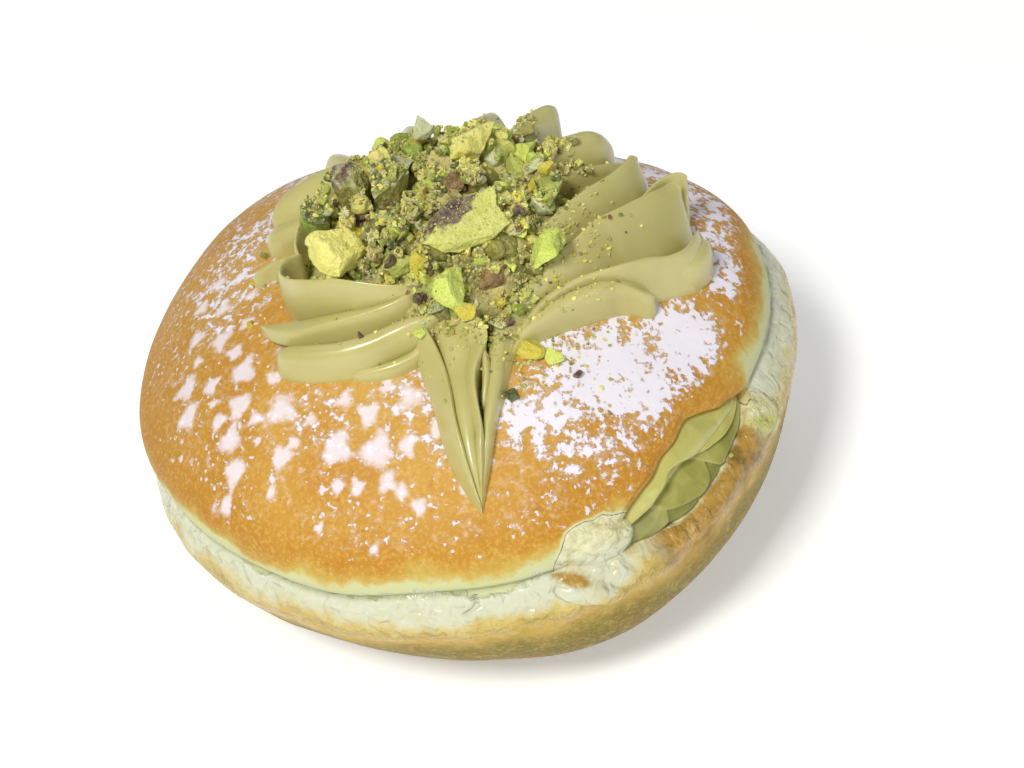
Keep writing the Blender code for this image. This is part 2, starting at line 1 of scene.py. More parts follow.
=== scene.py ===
"""The looks of a pistachio berliner: crust, sugar, cream rosette, nut heap and the filled gape.

Shapes are worked out in millimetres about the middle of the bun, with +Z up and the front at -Y,
and are put into the part's own frame, in metres, as each mesh is made.
"""
import json
import logging
import math
from dataclasses import dataclass, field
from enum import Enum
from typing import Any, NamedTuple, Sequence

import bpy
import numpy as np
from mathutils import Matrix, Vector
from mathutils.bvhtree import BVHTree

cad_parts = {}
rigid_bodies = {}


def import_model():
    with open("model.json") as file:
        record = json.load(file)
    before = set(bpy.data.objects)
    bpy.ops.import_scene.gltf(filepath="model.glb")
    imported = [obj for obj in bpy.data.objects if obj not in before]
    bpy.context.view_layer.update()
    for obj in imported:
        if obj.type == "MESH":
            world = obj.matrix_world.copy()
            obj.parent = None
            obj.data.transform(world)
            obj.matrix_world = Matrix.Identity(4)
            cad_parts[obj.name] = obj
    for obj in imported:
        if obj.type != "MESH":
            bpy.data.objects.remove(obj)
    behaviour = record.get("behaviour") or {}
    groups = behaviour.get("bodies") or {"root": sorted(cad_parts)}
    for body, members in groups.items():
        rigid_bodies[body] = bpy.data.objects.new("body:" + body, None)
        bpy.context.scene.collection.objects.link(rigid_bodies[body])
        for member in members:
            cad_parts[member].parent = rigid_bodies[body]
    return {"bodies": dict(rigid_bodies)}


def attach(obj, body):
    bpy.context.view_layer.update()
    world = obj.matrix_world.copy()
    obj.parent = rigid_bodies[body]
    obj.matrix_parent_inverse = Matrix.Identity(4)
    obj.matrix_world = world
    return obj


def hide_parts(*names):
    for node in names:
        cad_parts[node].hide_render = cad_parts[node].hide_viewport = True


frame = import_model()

LOG = logging.getLogger("berliner")
MM = 0.001
ORIGIN = np.array([-0.82, 0.55, 25.6])       # from the bun's middle to the part's origin, in mm
NO_QUADS = np.zeros((0, 4), dtype=int)
PERCH = 0.35                                 # a chip's middle over the ground, as a share of its size
Array = np.ndarray
Colour = tuple[float, float, float]
Socket = Any


def to_frame(points: Array) -> Array:
    """Turn millimetres about the bun's middle into metres in the part's frame."""
    return (points + ORIGIN) * MM


def linear(colour: Colour) -> tuple[float, float, float, float]:
    """Turn a display colour with parts from 0 to 255 into the linear one that a shader takes."""
    share = np.array(colour) / 255.0
    value = np.where(share <= 0.04045, share / 12.92, ((share + 0.055) / 1.055) ** 2.4)
    return (float(value[0]), float(value[1]), float(value[2]), 1.0)


def smooth_step(value: Array, low: float, high: float) -> Array:
    """Go from 0 at low to 1 at high along 3t^2 - 2t^3."""
    share = np.clip((value - low) / (high - low), 0, 1)
    return share * share * (3 - 2 * share)


def window(value: Array, start: float, full: float, wane: float, end: float) -> Array:
    """Rise from 0 to 1 between start and full, and fall to 0 again between wane and end."""
    return smooth_step(value, start, full) * (1 - smooth_step(value, wane, end))


def bell(value: Array, width: float) -> Array:
    """The bell curve exp(-(value / width)^2)."""
    return np.exp(-(value / width) ** 2)


def around(count: int) -> Array:
    """Even angles of a full turn, the last of which doesn't repeat the first."""
    return np.linspace(0, 2 * math.pi, count, endpoint=False)


def corner_value(cell: Array, seed: int) -> Array:
    """Hash whole lattice cells to numbers from 0 to 1."""
    mixed = cell[..., 0] * 374761393 + cell[..., 1] * 668265263 + cell[..., 2] * 974634777
    mixed = (mixed + seed * 1274126177) & 0xFFFFFFFF
    mixed = ((mixed ^ (mixed >> 13)) * 1274126177) & 0xFFFFFFFF
    mixed = ((mixed ^ (mixed >> 16)) * 668265263) & 0xFFFFFFFF
    return (mixed ^ (mixed >> 15)) / 0xFFFFFFFF


def value_noise(points: Array, pitch: float, seed: int = 0) -> Array:
    """Smooth noise from -1 to 1: hashed values at lattice corners, blended with 3t^2 - 2t^3.

    Args:
        points: Places, with three numbers in the last axis.
        pitch: Distance between two corners, in the unit of the places.
        seed: Number of the draw.

    Returns:
        One value for each place.
    """
    scaled = np.asarray(points) / pitch
    base = np.floor(scaled).astype(np.int64)
    part = scaled - base
    part = part * part * (3 - 2 * part)
    total = np.zeros(scaled.shape[:-1])
    for corner in np.ndindex(2, 2, 2):
        weight = np.prod(np.where(np.array(corner) == 1, part, 1 - part), axis=-1)
        total += weight * corner_value(base + np.array(corner), seed)
    return 2 * total - 1


def fractal(points: Array, pitch: float, octaves: int, seed: int = 0) -> Array:
    """Sum noises, each with half the pitch and half the height of the one before."""
    total = np.zeros(np.asarray(points).shape[:-1])
    for octave in range(octaves):
        total += value_noise(points, pitch / 2 ** octave, seed + octave) / 2 ** octave
    return total


def curve_through(points: Sequence[Sequence[float]], count: int) -> Array:
    """A Catmull-Rom curve: on each span the cubic whose end slopes join the neighbouring points.

    Args:
        points: The points that the curve passes through.
        count: How many places to read from it.

    Returns:
        The places, evenly spread over the spans.
    """
    knots = np.array(points, dtype=float)
    padded = np.vstack([2 * knots[0] - knots[1], knots, 2 * knots[-1] - knots[-2]])
    place = np.linspace(0, len(knots) - 1, count)
    span = np.minimum(place.astype(int), len(knots) - 2)
    share = (place - span)[:, None]
    before, start, end, after = (padded[span + step] for step in range(4))
    slope = (end - before) * share
    bend = (2 * before - 5 * start + 4 * end - after) * share ** 2
    twist = (3 * start - before - 3 * end + after) * share ** 3
    return start + 0.5 * (slope + bend + twist)


def new_mesh(name: str, points: Array, quads: Array, triangles: Array) -> bpy.types.Mesh:
    """Put arrays of places and of corner numbers into a mesh.

    Args:
        name: Name of the mesh.
        points: Places in millimetres about the bun's middle.
        quads: Four corner numbers a row.
        triangles: Three corner numbers a row.

    Returns:
        The mesh, in metres, shaded smooth.
    """
    corners = np.concatenate([quads.ravel(), triangles.ravel()]).astype(np.int32)
    totals = np.concatenate([np.full(len(quads), 4), np.full(len(triangles), 3)]).astype(np.int32)
    starts = np.concatenate([[0], np.cumsum(totals)[:-1]]).astype(np.int32)
    mesh = bpy.data.meshes.new(name)
    mesh.vertices.add(len(points))
    mesh.vertices.foreach_set("co", to_frame(points).astype(np.float32).ravel())
    mesh.loops.add(len(corners))
    mesh.loops.foreach_set("vertex_index", corners)
    mesh.polygons.add(len(totals))
    mesh.polygons.foreach_set("loop_start", starts)
    mesh.polygons.foreach_set("loop_total", totals)
    mesh.update(calc_edges=True)
    mesh.validate()
    mesh.shade_smooth()
    return mesh


def new_object(name: str, mesh: bpy.types.Mesh) -> bpy.types.Object:
    """Link a mesh into the scene as an object at the origin."""
    piece = bpy.data.objects.new(name, mesh)
    bpy.context.scene.collection.objects.link(piece)
    return piece


def skin_rings(name: str, rings: Array) -> bpy.types.Object:
    """Skin a stack of rings, anticlockwise from below up, and close both ends with a fan.

    Args:
        name: Name of the object.
        rings: Places by ring, by point and by axis, in millimetres.

    Returns:
        A closed object whose faces point outwards.
    """
    rows, count = rings.shape[:2]
    points = np.concatenate([rings.reshape(-1, 3), rings[[0, -1]].mean(axis=1)])
    index = np.arange(rows * count).reshape(rows, count)
    follow = np.roll(index, -1, axis=1)
    quads = np.stack([index[:-1], follow[:-1], follow[1:], index[1:]], axis=-1).reshape(-1, 4)
    low = np.stack([follow[0], index[0], np.full(count, rows * count)], axis=-1)
    high = np.stack([index[-1], follow[-1], np.full(count, rows * count + 1)], axis=-1)
    triangles = np.concatenate([low, high])
    if signed_volume(points, quads, triangles) < 0:
        quads, triangles = quads[:, ::-1], triangles[:, ::-1]
    return new_object(name, new_mesh(name, points, quads, triangles))


def ellipsoid(radii: Sequence[float], latitude: Array, turn: Array) -> Array:
    """Rings of an ellipsoid: a cos u cos v, b cos u sin v, c sin u."""
    return np.stack([radii[0] * np.cos(latitude) * np.cos(turn), radii[1] * np.cos(latitude) * np.sin(turn),
                     radii[2] * np.sin(latitude) * np.ones_like(turn)], axis=-1)


def signed_volume(points: Array, quads: Array, triangles: Array) -> float:
    """Volume inside the faces, below 0 where they point inwards: a sum of corner pyramids."""
    halves = np.concatenate([quads[:, [0, 1, 2]], quads[:, [0, 2, 3]], triangles])
    a, b, c = (points[halves[:, corner]] for corner in range(3))
    return float(np.einsum("ij,ij->", a, np.cross(b, c)) / 6)


def mesh_points(piece: bpy.types.Object) -> Array:
    """Places of a piece's vertices, in millimetres about the bun's middle."""
    flat = np.empty(len(piece.data.vertices) * 3, dtype=np.float32)
    piece.data.vertices.foreach_get("co", flat)
    return flat.reshape(-1, 3).astype(float) / MM - ORIGIN


def mesh_normals(piece: bpy.types.Object) -> Array:
    """Directions that a piece's vertices face."""
    flat = np.empty(len(piece.data.vertices) * 3, dtype=np.float32)
    piece.data.vertices.foreach_get("normal", flat)
    return flat.reshape(-1, 3).astype(float)


def move_points(piece: bpy.types.Object, points: Array) -> None:
    """Give a piece's vertices new places, in millimetres about the bun's middle."""
    piece.data.vertices.foreach_set("co", to_frame(points).astype(np.float32).ravel())
    piece.data.update()


def set_values(piece: bpy.types.Object, name: str, values: Array) -> None:
    """Store one number for each vertex, for the material to read."""
    layer = piece.data.attributes.new(name, "FLOAT", "POINT")
    layer.data.foreach_set("value", values.astype(np.float32))


def set_tints(piece: bpy.types.Object, colours: Array) -> None:
    """Store one linear colour for each vertex, for the material to read."""
    layer = piece.data.attributes.new("tint", "FLOAT_COLOR", "POINT")
    layer.data.foreach_set("color", colours.astype(np.float32).ravel())


class Join(Enum):
    """What a Boolean does with the other shapes."""

    UNION = "UNION"
    CUT = "DIFFERENCE"


def combine(piece: bpy.types.Object, others: Sequence[bpy.types.Object], join: Join) -> None:
    """Join or cut a piece with other objects, keep the result as its mesh and drop the others."""
    collection = bpy.data.collections.new("operands")
    bpy.context.scene.collection.children.link(collection)
    for other in others:
        collection.objects.link(other)
    modifier = piece.modifiers.new(join.name.lower(), "BOOLEAN")
    modifier.operation = join.value
    modifier.operand_type = "COLLECTION"
    modifier.collection = collection
    modifier.solver = "MANIFOLD"
    graph = bpy.context.evaluated_depsgraph_get()
    mesh = bpy.data.meshes.new_from_object(piece.evaluated_get(graph))
    piece.modifiers.clear()
    piece.data = mesh
    for other in others:
        bpy.data.objects.remove(other)
    bpy.data.collections.remove(collection)


def finish_piece(piece: bpy.types.Object, material: bpy.types.Material,
                 nodes: Sequence[str] = ()) -> None:
    """Dress a piece, let it ride on the part and hide the nodes that it stands for."""
    piece.data.materials.clear()
    piece.data.materials.append(material)
    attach(piece, "root" if "root" in frame["bodies"] else next(iter(frame["bodies"])))
    if nodes:
        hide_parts(*nodes)
    LOG.info("%s: %d faces", piece.name, len(piece.data.polygons))


class Paint:
    """A short way to write a node material around one Principled shader."""

    def __init__(self, name: str) -> None:
        """Start a material with its shader and the object's own coordinates."""
        self.material = bpy.data.materials.new(name)
        self.material.use_nodes = True
        self.tree = self.material.node_tree
        self.shader = self.tree.nodes["Principled BSDF"]
        self.place = self.tree.nodes.new("ShaderNodeTexCoord").outputs["Object"]

    def add(self, kind: str, inputs: dict, output: str | int = 0, **settings: Any) -> Socket:
        """Add a node.

        Args:
            kind: The node's type, without its ShaderNode.
            inputs: Sockets to link, or values to set, by input name or number.
            output: The output to return.
            **settings: Options of the node.

        Returns:
            The output's socket.
        """
        node = self.tree.nodes.new("ShaderNode" + kind)
        for name, value in settings.items():
            setattr(node, name, value)
        for key, value in inputs.items():
            self.put(node.inputs[key], value)
        return node.outputs[output]

    def put(self, socket: Socket, value: Any) -> None:
        """Link another socket to this one, or set its value."""
        if isinstance(value, bpy.types.NodeSocket):
            self.tree.links.new(value, socket)
        else:
            socket.default_value = value

    def set(self, **inputs: Any) -> None:
        """Set or link inputs of the shader, with _ for a space in their names."""
        for name, value in inputs.items():
            self.put(self.shader.inputs[name.replace("_", " ")], value)

    def noise(self, pitch: float, detail: float = 2.0, rough: float = 0.5, warp: float = 0.0) -> Socket:
        """Noise from 0 to 1 with features about pitch millimetres apart."""
        inputs = {"Vector": self.place, "Scale": 1 / (pitch * MM), "Detail": detail,
                  "Roughness": rough, "Distortion": warp}
        return self.add("TexNoise", inputs)

    def cells(self, pitch: float, output: str, place: Socket) -> Socket:
        """Distance to, or colour of, the nearest of points that lie pitch millimetres apart."""
        inputs = {"Vector": place, "Scale": 1 / (pitch * MM)}
        return self.add("TexVoronoi", inputs, output)

    def value(self, name: str) -> Socket:
        """A number stored with the mesh."""
        return self.add("Attribute", {}, "Fac", attribute_name=name)

    def math(self, operation: str, a: Any, b: Any) -> Socket:
        """Put two numbers through a named operation."""
        return self.add("Math", {0: a, 1: b}, operation=operation)

    def cloud(self, pitch: float, detail: float, rough: float, low: float, high: float,
              start: float = 0.0, end: float = 1.0) -> Socket:
        """Noise whose values low..high are spread to start..end."""
        return self.spread(self.noise(pitch, detail, rough), low, high, start, end)

    def sum(self, a: Any, b: Any) -> Socket:
        """Add two numbers."""
        return self.math("ADD", a, b)

    def times(self, a: Any, b: Any) -> Socket:
        """Multiply two numbers."""
        return self.math("MULTIPLY", a, b)

    def most(self, a: Any, b: Any) -> Socket:
        """The larger of two numbers."""
        return self.math("MAXIMUM", a, b)

    def spread(self, value: Socket, low: float, high: float, start: float = 0.0,
               end: float = 1.0) -> Socket:
        """Map low..high to start..end along a smooth step, and hold the ends."""
        inputs = {"Value": value, "From Min": low, "From Max": high, "To Min": start, "To Max": end}
        return self.add("MapRange", inputs, interpolation_type="SMOOTHSTEP")

    def ramp(self, value: Socket, stops: Sequence[tuple[float, Colour]]) -> Socket:
        """Blend colours along places from 0 to 1."""
        colour = self.add("ValToRGB", {"Fac": value}, "Color")
        band = colour.node.color_ramp
        while len(band.elements) < len(stops):
            band.elements.new(1.0)
        for element, (place, shade) in zip(band.elements, stops):
            element.position = place
            element.color = linear(shade)
        return colour

    def mix(self, share: Any, a: Any, b: Any) -> Socket:
        """Blend two colours, which are sockets or display colours."""
        a, b = (side if isinstance(side, bpy.types.NodeSocket) else linear(side) for side in (a, b))
        return self.add("Mix", {"Factor": share, 6: a, 7: b}, 2, data_type="RGBA")

    def bump(self, height: Socket, distance: float, strength: float = 1.0,
             normal: Socket | None = None) -> Socket:
        """Relief of a height from 0 to 1 over distance millimetres."""
        inputs = {"Height": height, "Distance": distance * MM, "Strength": strength}
        if normal:
            inputs["Normal"] = normal
        return self.add("Bump", inputs)


@dataclass(frozen=True)
class BunShape:
    """The plain form of the bun: a squashed ball turned round a wavy plan, pinched at its crease."""

    radius: float = 48.0
    top_height: float = 28.0
    foot_height: float = 28.0
    top_power: float = 2.0
    foot_power: float = 2.26
    flat_foot: float = 25.6
    waves: tuple = ((2, 0.0265, -0.0136), (3, 0.0135, 0.0221), (4, 0.0020, 0.0226))
    crease_level: float = 3.9
    crease_tilt: tuple[float, float] = (5.24, -1.94)
    crease_depth: float = 1.3
    crease_width: tuple[float, float] = (2.0, 1.1)           # below and above it
    lobes: tuple[float, float] = (0.9, 0.7)                  # below and above it
    lobe_offset: float = 6.0
    lobe_width: float = 3.5
    lump: float = 0.35

    def plan_factor(self, angle: Array) -> Array:
        """Radius of the outline as a share of the bun's: 1 plus waves in the angle."""
        factor = np.ones_like(angle)
        for count, cosine_part, sine_part in self.waves:
            factor = factor + cosine_part * np.cos(count * angle) + sine_part * np.sin(count * angle)
        return factor

    def crease_height(self, angle: Array) -> Array:
        """Height of the tilted crease, with a slight wander of its own."""
        tilt = self.crease_tilt[0] * np.cos(angle) + self.crease_tilt[1] * np.sin(angle)
        return self.crease_level + tilt + 0.35 * np.sin(7 * angle + 1.0) + 0.2 * np.sin(13 * angle)

    def share_inside(self, height: Array) -> Array:
        """Radius at a height as a share of the outline: (1 - |z/h|^n)^(1/n)."""
        power = np.where(height >= 0, self.top_power, self.foot_power)
        half = np.where(height >= 0, self.top_height, self.foot_height)
        return np.clip(1 - (np.abs(height) / half) ** power, 0, 1) ** (1 / power)

    def crust_top(self, x: Array, y: Array) -> Array:
        """Height of the plain top over a point of the plan."""
        share = np.hypot(x, y) / (self.radius * self.plan_factor(np.arctan2(y, x)))
        return self.top_height * np.clip(1 - share ** self.top_power, 0, 1) ** (1 / self.top_power)

    def reach(self, side: Array, height: Array, facing: float) -> Array:
        """Distance from the axis to the plain crust along a direction, found by repeated guesses."""
        share = self.share_inside(height)
        reach = np.full_like(side, self.radius * 0.9)
        for _ in range(8):
            radius = self.radius * self.plan_factor(facing + np.arctan2(side, reach)) * share
            reach = np.sqrt(np.clip(radius ** 2 - side ** 2, 1, None))
        return reach

    def latitude(self, height: Array) -> Array:
        """Latitude at which the plain form has a height: arcsin of |z/h|^(n/2)."""
        power = np.where(height >= 0, self.top_power, self.foot_power)
        half = np.where(height >= 0, self.top_height, self.foot_height)
        return np.sign(height) * np.arcsin(np.clip(np.abs(height) / half, 0, 1) ** (power / 2))

    def relief(self, angle: Array, height: Array) -> Array:
        """Swelling over the plain form: groove, a lobe on each side of it, and slow lumps."""
        above = height - self.crease_height(angle)
        width = np.where(above > 0, self.crease_width[1], self.crease_width[0])
        groove = -self.crease_depth * np.exp(-np.abs(above) / width)
        upper = self.lobes[1] * bell(above - self.lobe_offset, self.lobe_width)
        lower = self.lobes[0] * bell(above + self.lobe_offset, self.lobe_width)
        lumps = np.sin(3 * angle + 0.7) * np.sin(0.13 * height + 0.4)
        lumps = self.lump * (lumps + np.sin(5 * angle - 1.1) * np.cos(0.17 * height))
        return groove + upper + lower + lumps

    def points(self, angle: Array, latitude: Array, lift: Array | float = 0.0,
               dents: Any = None) -> Array:
        """Places of the crust, moved out along the plain form's own normal.

        Args:
            angle: Angles round the axis, in radians.
            latitude: Latitudes, in radians.
            lift: Extra distance out, in millimetres.
            dents: Function of angle, height and place that gives further relief.

        Returns:
            Places in millimetres.
        """
        sine = np.sin(latitude)
        power = np.where(sine >= 0, self.top_power, self.foot_power)
        half = np.where(sine >= 0, self.top_height, self.foot_height)
        radius = self.radius * self.plan_factor(angle) * np.abs(np.cos(latitude)) ** (2 / power)
        height = half * np.sign(sine) * np.abs(sine) ** (2 / power)
        outward = radius / self.radius ** 2
        upward = height / half ** 2
        length = np.hypot(outward, upward)
        swell = self.relief(angle, height) + lift
        if dents is not None:
            plain = np.stack([radius * np.cos(angle), radius * np.sin(angle), height], axis=-1)
            swell = swell + dents(angle, height, plain)
        swell = swell * np.clip((height + self.flat_foot) / 5.0, 0, 1) ** 2
        radius = radius + swell * outward / length
        height = height + swell * upward / length
        return np.stack([radius * np.cos(angle), radius * np.sin(angle), height], axis=-1)


BUN = BunShape()


@dataclass(frozen=True)
class GapeShape:
    """The torn mouth at the front right, measured along and up from its own middle."""

    facing: float = math.radians(-48.5)
    middle: float = -0.5
    half_width: float = 15.4
    level: float = 7.3
    tilt: float = 0.073
    rise: float = 6.0
    drop: float = 2.4
    skew: float = 0.045                      # how fast the rise runs out towards the right end
    power: float = 0.85
    teeth: tuple = ((0.22, 5, 1.0), (0.14, 11, 0.0), (0.1, 17, 2.0))     # height, count, start
    lip: float = 1.3                         # radius of the lip's rounding
    neck: float = 33.0
    depths: tuple[float, ...] = (-21.0, -16.0, -6.0, 6.0, 14.0, 18.0, 22.0, 26.0, 30.0)
    throat: float = 18.0
    pocket: tuple[float, float, float] = (21.5, 8.6, 7.2)    # half width, height above and below its level
    pocket_level: float = 3.4
    egg_start: float = -4.0                  # depth where the pocket starts to close
    egg_length: float = 22.0

    def axes(self) -> tuple[Array, Array]:
        """The way out of the mouth, and the way to its right as seen from outside."""
        outward = np.array([math.cos(self.facing), math.sin(self.facing), 0.0])
        sideways = np.array([-math.sin(self.facing), math.cos(self.facing), 0.0])
        return outward, sideways

    def outline(self, turn: Array, grow: float = 0.0) -> tuple[Array, Array]:
        """Side and height round the mouth: a tilted lens, grown on request."""
        side = self.middle + (self.half_width + grow) * np.cos(turn)
        sine = np.sin(turn)
        fade = 1 - self.skew * np.clip(side - 3.0, 0, 12)
        tall = np.where(sine >= 0, self.rise * fade + grow, self.drop + grow)
        swing = np.sign(sine) * np.abs(sine) ** self.power
        ragged = sum(size * np.sin(count * turn + start) for size, count, start in self.teeth)
        return side, self.level + self.tilt * side + tall * swing + ragged * np.abs(sine)

    def inner(self, turn: Array, depth: float, inset: float) -> tuple[Array, Array]:
        """Side and height round the pocket behind the mouth, which ends like an egg."""
        end = max((self.egg_start - depth) / self.egg_length, 0.0)
        close = math.sqrt(max(1 - end ** 2, 0.0))
        sine = np.sin(turn)
        swing = np.sign(sine) * np.abs(sine) ** self.power
        half, above, below = (size * close - inset for size in self.pocket)
        return half * np.cos(turn), self.pocket_level + np.where(sine >= 0, above, below) * swing

    def section(self, turn: Array, depth: float, inset: float) -> tuple[Array, Array]:
        """Side and height at a depth: the mouth's outline, blended into the pocket inside."""
        share = float(smooth_step(np.array(depth), self.throat, self.neck))
        near, far = self.outline(turn, -inset), self.inner(turn, depth, inset)
        return tuple(share * a + (1 - share) * b for a, b in zip(near, far))

    def tunnel(self, turn: Array, blind: float, inset: float) -> list[Array]:
        """Rings of the pocket from its blind end out to its neck.

        Args:
            turn: Angles round each ring.
            blind: Depth of the blind end.
            inset: Distance from the pocket's wall.

        Returns:
            One ring of places for each depth.
        """
        rings = []
        for depth in (blind, *self.depths, self.neck):
            side, height = self.section(turn, depth, inset)
            rings.append(self.ring(np.full_like(side, depth), side, height))
        return rings

    def ring(self, reach: Array, side: Array, height: Array) -> Array:
        """Places from distances out of the mouth, sideways and up."""
        outward, sideways = self.axes()
        plan = np.multiply.outer(reach, outward) + np.multiply.outer(side, sideways)
        return plan + np.multiply.outer(height, np.array([0.0, 0.0, 1.0]))

    def side_of(self, points: Array) -> tuple[Array, Array]:
        """Distances out of the mouth and sideways, of places."""
        outward, sideways = self.axes()
        return points @ outward, points @ sideways


GAPE = GapeShape()


class Region(Enum):
    """Where on the bun a wash of colour shows."""

    CRUST = "browned top"
    LEFT = "its darker left side"
    FOOT = "browned underside"
    BAND = "edge of the pale belt"


class Wash(NamedTuple):
    """A colour laid over a region where a noise is high; with no pitch it lies evenly."""

    region: Region
    share: float
    colour: Colour
    pitch: float = 0.0
    detail: float = 4.0
    rough: float = 0.6
    low: float = 0.45
    high: float = 0.75


@dataclass(frozen=True)
class CrustFinish:
    """Fried crust, its pale belt, bare crumb and the sugar that melts into it."""

    name: str = "fried_crust"
    crumb: tuple = ((0.35, (214, 206, 140)), (0.6, (240, 236, 190)))
    line: Colour = (146, 150, 92)            # painted shade in the crease
    stain: Colour = (206, 204, 96)           # filling soaked into the crumb
    dust: Colour = (232, 208, 192)
    caked: Colour = (248, 243, 254)
    heights: tuple[float, float] = (-20.0, 30.0)     # over the crease, where the zones start and end
    zones: tuple = (
        (0.0, (112, 96, 34)), (0.16, (136, 120, 44)), (0.25, (202, 168, 70)), (0.295, (212, 188, 102)),
        (0.335, (216, 216, 184)), (0.390, (220, 222, 196)), (0.404, (206, 212, 168)),
        (0.448, (210, 212, 156)), (0.475, (206, 178, 86)), (0.52, (198, 142, 48)), (0.62, (209, 158, 66)),
        (0.85, (214, 168, 80)), (1.0, (208, 162, 80)))
    baked: tuple = ((0.30, (112, 84, 30)), (0.48, (182, 144, 64)), (0.60, (196, 154, 76)),
                    (0.72, (218, 200, 128)))
    washes: tuple[Wash, ...] = (
        Wash(Region.CRUST, 0.55, (190, 126, 36), 16.0, 3.0, 0.5, 0.35, 0.7),
        Wash(Region.CRUST, 0.35, (194, 128, 38), 4.5),
        # Darker left side: painted shade together with uneven browning.
        Wash(Region.LEFT, 0.40, (176, 122, 36)),
        Wash(Region.FOOT, 0.6, (150, 104, 30), 4.5),
        Wash(Region.FOOT, 0.5, (214, 192, 112), 2.2, 4.0, 0.7, 0.50, 0.75),
        Wash(Region.FOOT, 0.4, (208, 182, 100), 0.7, 3.0, 0.7, 0.45, 0.68),
        Wash(Region.BAND, 0.4, (222, 208, 138), 2.0, 4.0, 0.6, 0.42, 0.68),
        Wash(Region.CRUST, 0.38, (240, 200, 108), 0.6, 3.0, 0.7, 0.45, 0.68),
        Wash(Region.CRUST, 0.35, (172, 108, 32), 1.1, 2.0, 0.6, 0.62, 0.72))
    subsurface: tuple[float, float, float] = (0.0016, 0.0009, 0.0004)

    def build(self) -> bpy.types.Material:
        """Make the material.

        The colour runs through the zones with the height over the crease, which a noise makes
        ragged.  Washes, crumb, painted shade along the crease, baked lip, stain and sugar lie on it
        in that order.  The wash on the left side is painted shade together with uneven browning.
        It reads over_crease, browned, bare, crease_shade, lip, stain, sugar, cake and speckle, which
        the bun stores for each vertex.

        Returns:
            The material.
        """
        paint = Paint(self.name)
        height = paint.sum(paint.value("over_crease"), paint.cloud(7.0, 4.0, 0.55, 0.25, 0.75, -1.4, 1.4))
        height = paint.sum(height, paint.cloud(1.4, 3.0, 0.6, 0.2, 0.8, -0.5, 0.5))
        zone = paint.add("MapRange", {"Value": height, "From Min": self.heights[0],
                                      "From Max": self.heights[1]})
        base = paint.ramp(zone, self.zones)
        crust = paint.spread(height, 2.6, 5.0)
        regions = {
            Region.CRUST: crust, Region.LEFT: paint.times(crust, paint.value("browned")),
            Region.FOOT: paint.spread(height, -6.2, -8.6),
            Region.BAND: paint.times(paint.spread(height, 4.0, 2.0), paint.spread(height, 0.0, 1.0))}
        for wash in self.washes:
            mask = paint.times(regions[wash.region], wash.share)
            if wash.pitch:
                mask = paint.times(mask, paint.cloud(*wash[3:]))
            base = paint.mix(mask, base, wash.colour)
        bare = paint.value("bare")
        base = paint.mix(bare, base, paint.ramp(paint.noise(1.6, 3.0, 0.6), self.crumb))
        # Painted shade along the crease.
        base = paint.mix(paint.times(paint.value("crease_shade"), 0.6), base, self.line)
        base = paint.mix(paint.value("lip"), base, paint.ramp(paint.noise(4.0, 4.0, 0.6), self.baked))
        base = paint.mix(paint.value("stain"), base, self.stain)
        sugar, thin = self.sugar(paint)
        base = paint.mix(paint.times(thin, 0.45), base, self.dust)
        base = paint.mix(paint.times(sugar, 0.96), base, self.caked)
        wet = paint.times(paint.spread(height, -8.5, -6.5), paint.spread(height, 1.0, -1.0))
        shine = paint.sum(0.54, paint.times(wet, -0.32))
        paint.set(Base_Color=base, Specular_IOR_Level=paint.sum(0.2, paint.times(wet, 0.3)),
                  Roughness=paint.sum(shine, paint.times(paint.most(sugar, bare), 0.35)),
                  Subsurface_Weight=0.08, Subsurface_Radius=self.subsurface, Subsurface_Scale=1.0)
        belt = paint.times(paint.spread(height, -7.5, -5.0), paint.spread(height, 0.5, -0.5))
        relief = paint.bump(paint.noise(0.9, 4.0, 0.6), 0.10, 0.55)
        relief = paint.bump(paint.noise(3.5, 2.0, 0.5), 0.22, 0.5, relief)
        relief = paint.bump(paint.times(belt, paint.noise(2.3, 2.0, 0.45, 0.5)), 1.3, 0.9, relief)
        relief = paint.bump(paint.times(bare, paint.noise(0.9, 4.0, 0.65, 0.6)), 0.6, 0.9, relief)
        paint.set(Normal=paint.bump(sugar, 0.16, 0.8, relief))
        return paint.material

    def sugar(self, paint: Paint) -> tuple[Socket, Socket]:
        """Masks of the caked sugar and of the thin dust round it.

        Sugar lies where the stored field, roughened by noise, passes a level.  Thin drifts have
        holes and full cakes have none.  Flakes and fine veins are drawn between them.

        Args:
            paint: The material that is being made.

        Returns:
            The mask of the cakes, drifts, flakes and veins, and that of the dust.
        """
        lace = paint.sum(paint.times(paint.noise(1.7, 3.0, 0.55, 0.3), 0.6),
                         paint.times(paint.noise(0.8, 3.0, 0.6), 0.4))
        drift = paint.sum(paint.value("sugar"), paint.spread(lace, 0.33, 0.67, -0.40, 0.40))
        cake = paint.sum(paint.value("cake"), paint.spread(lace, 0.33, 0.67, -0.17, 0.17))
        caked = paint.most(paint.spread(drift, 0.46, 0.66), paint.spread(cake, 0.22, 0.95, 0.0, 0.78))
        thin = paint.times(paint.spread(drift, 0.10, 0.60), paint.cloud(0.9, 4.0, 0.62, 0.36, 0.62))
        speckle = paint.value("speckle")
        reach = paint.spread(paint.sum(speckle, paint.cloud(6.0, 2.0, 0.5, 0.35, 0.7, -0.25, 0.3)), 0.0, 0.25)
        veins = paint.times(reach, paint.spread(paint.noise(1.3, 4.0, 0.58, 0.3), 0.59, 0.65))
        nearest, drawn = (paint.cells(0.9, output, self.warped(paint)) for output in ("Distance", "Color"))
        picked = paint.math("GREATER_THAN", paint.sum(
            speckle, paint.cloud(5.0, 2.0, 0.5, 0.3, 0.7, -0.30, 0.22)), drawn)
        dots = paint.times(paint.spread(nearest, 0.20, 0.34, 1.0, 0.0), picked)
        return paint.most(caked, paint.times(paint.most(dots, veins), 0.8)), thin

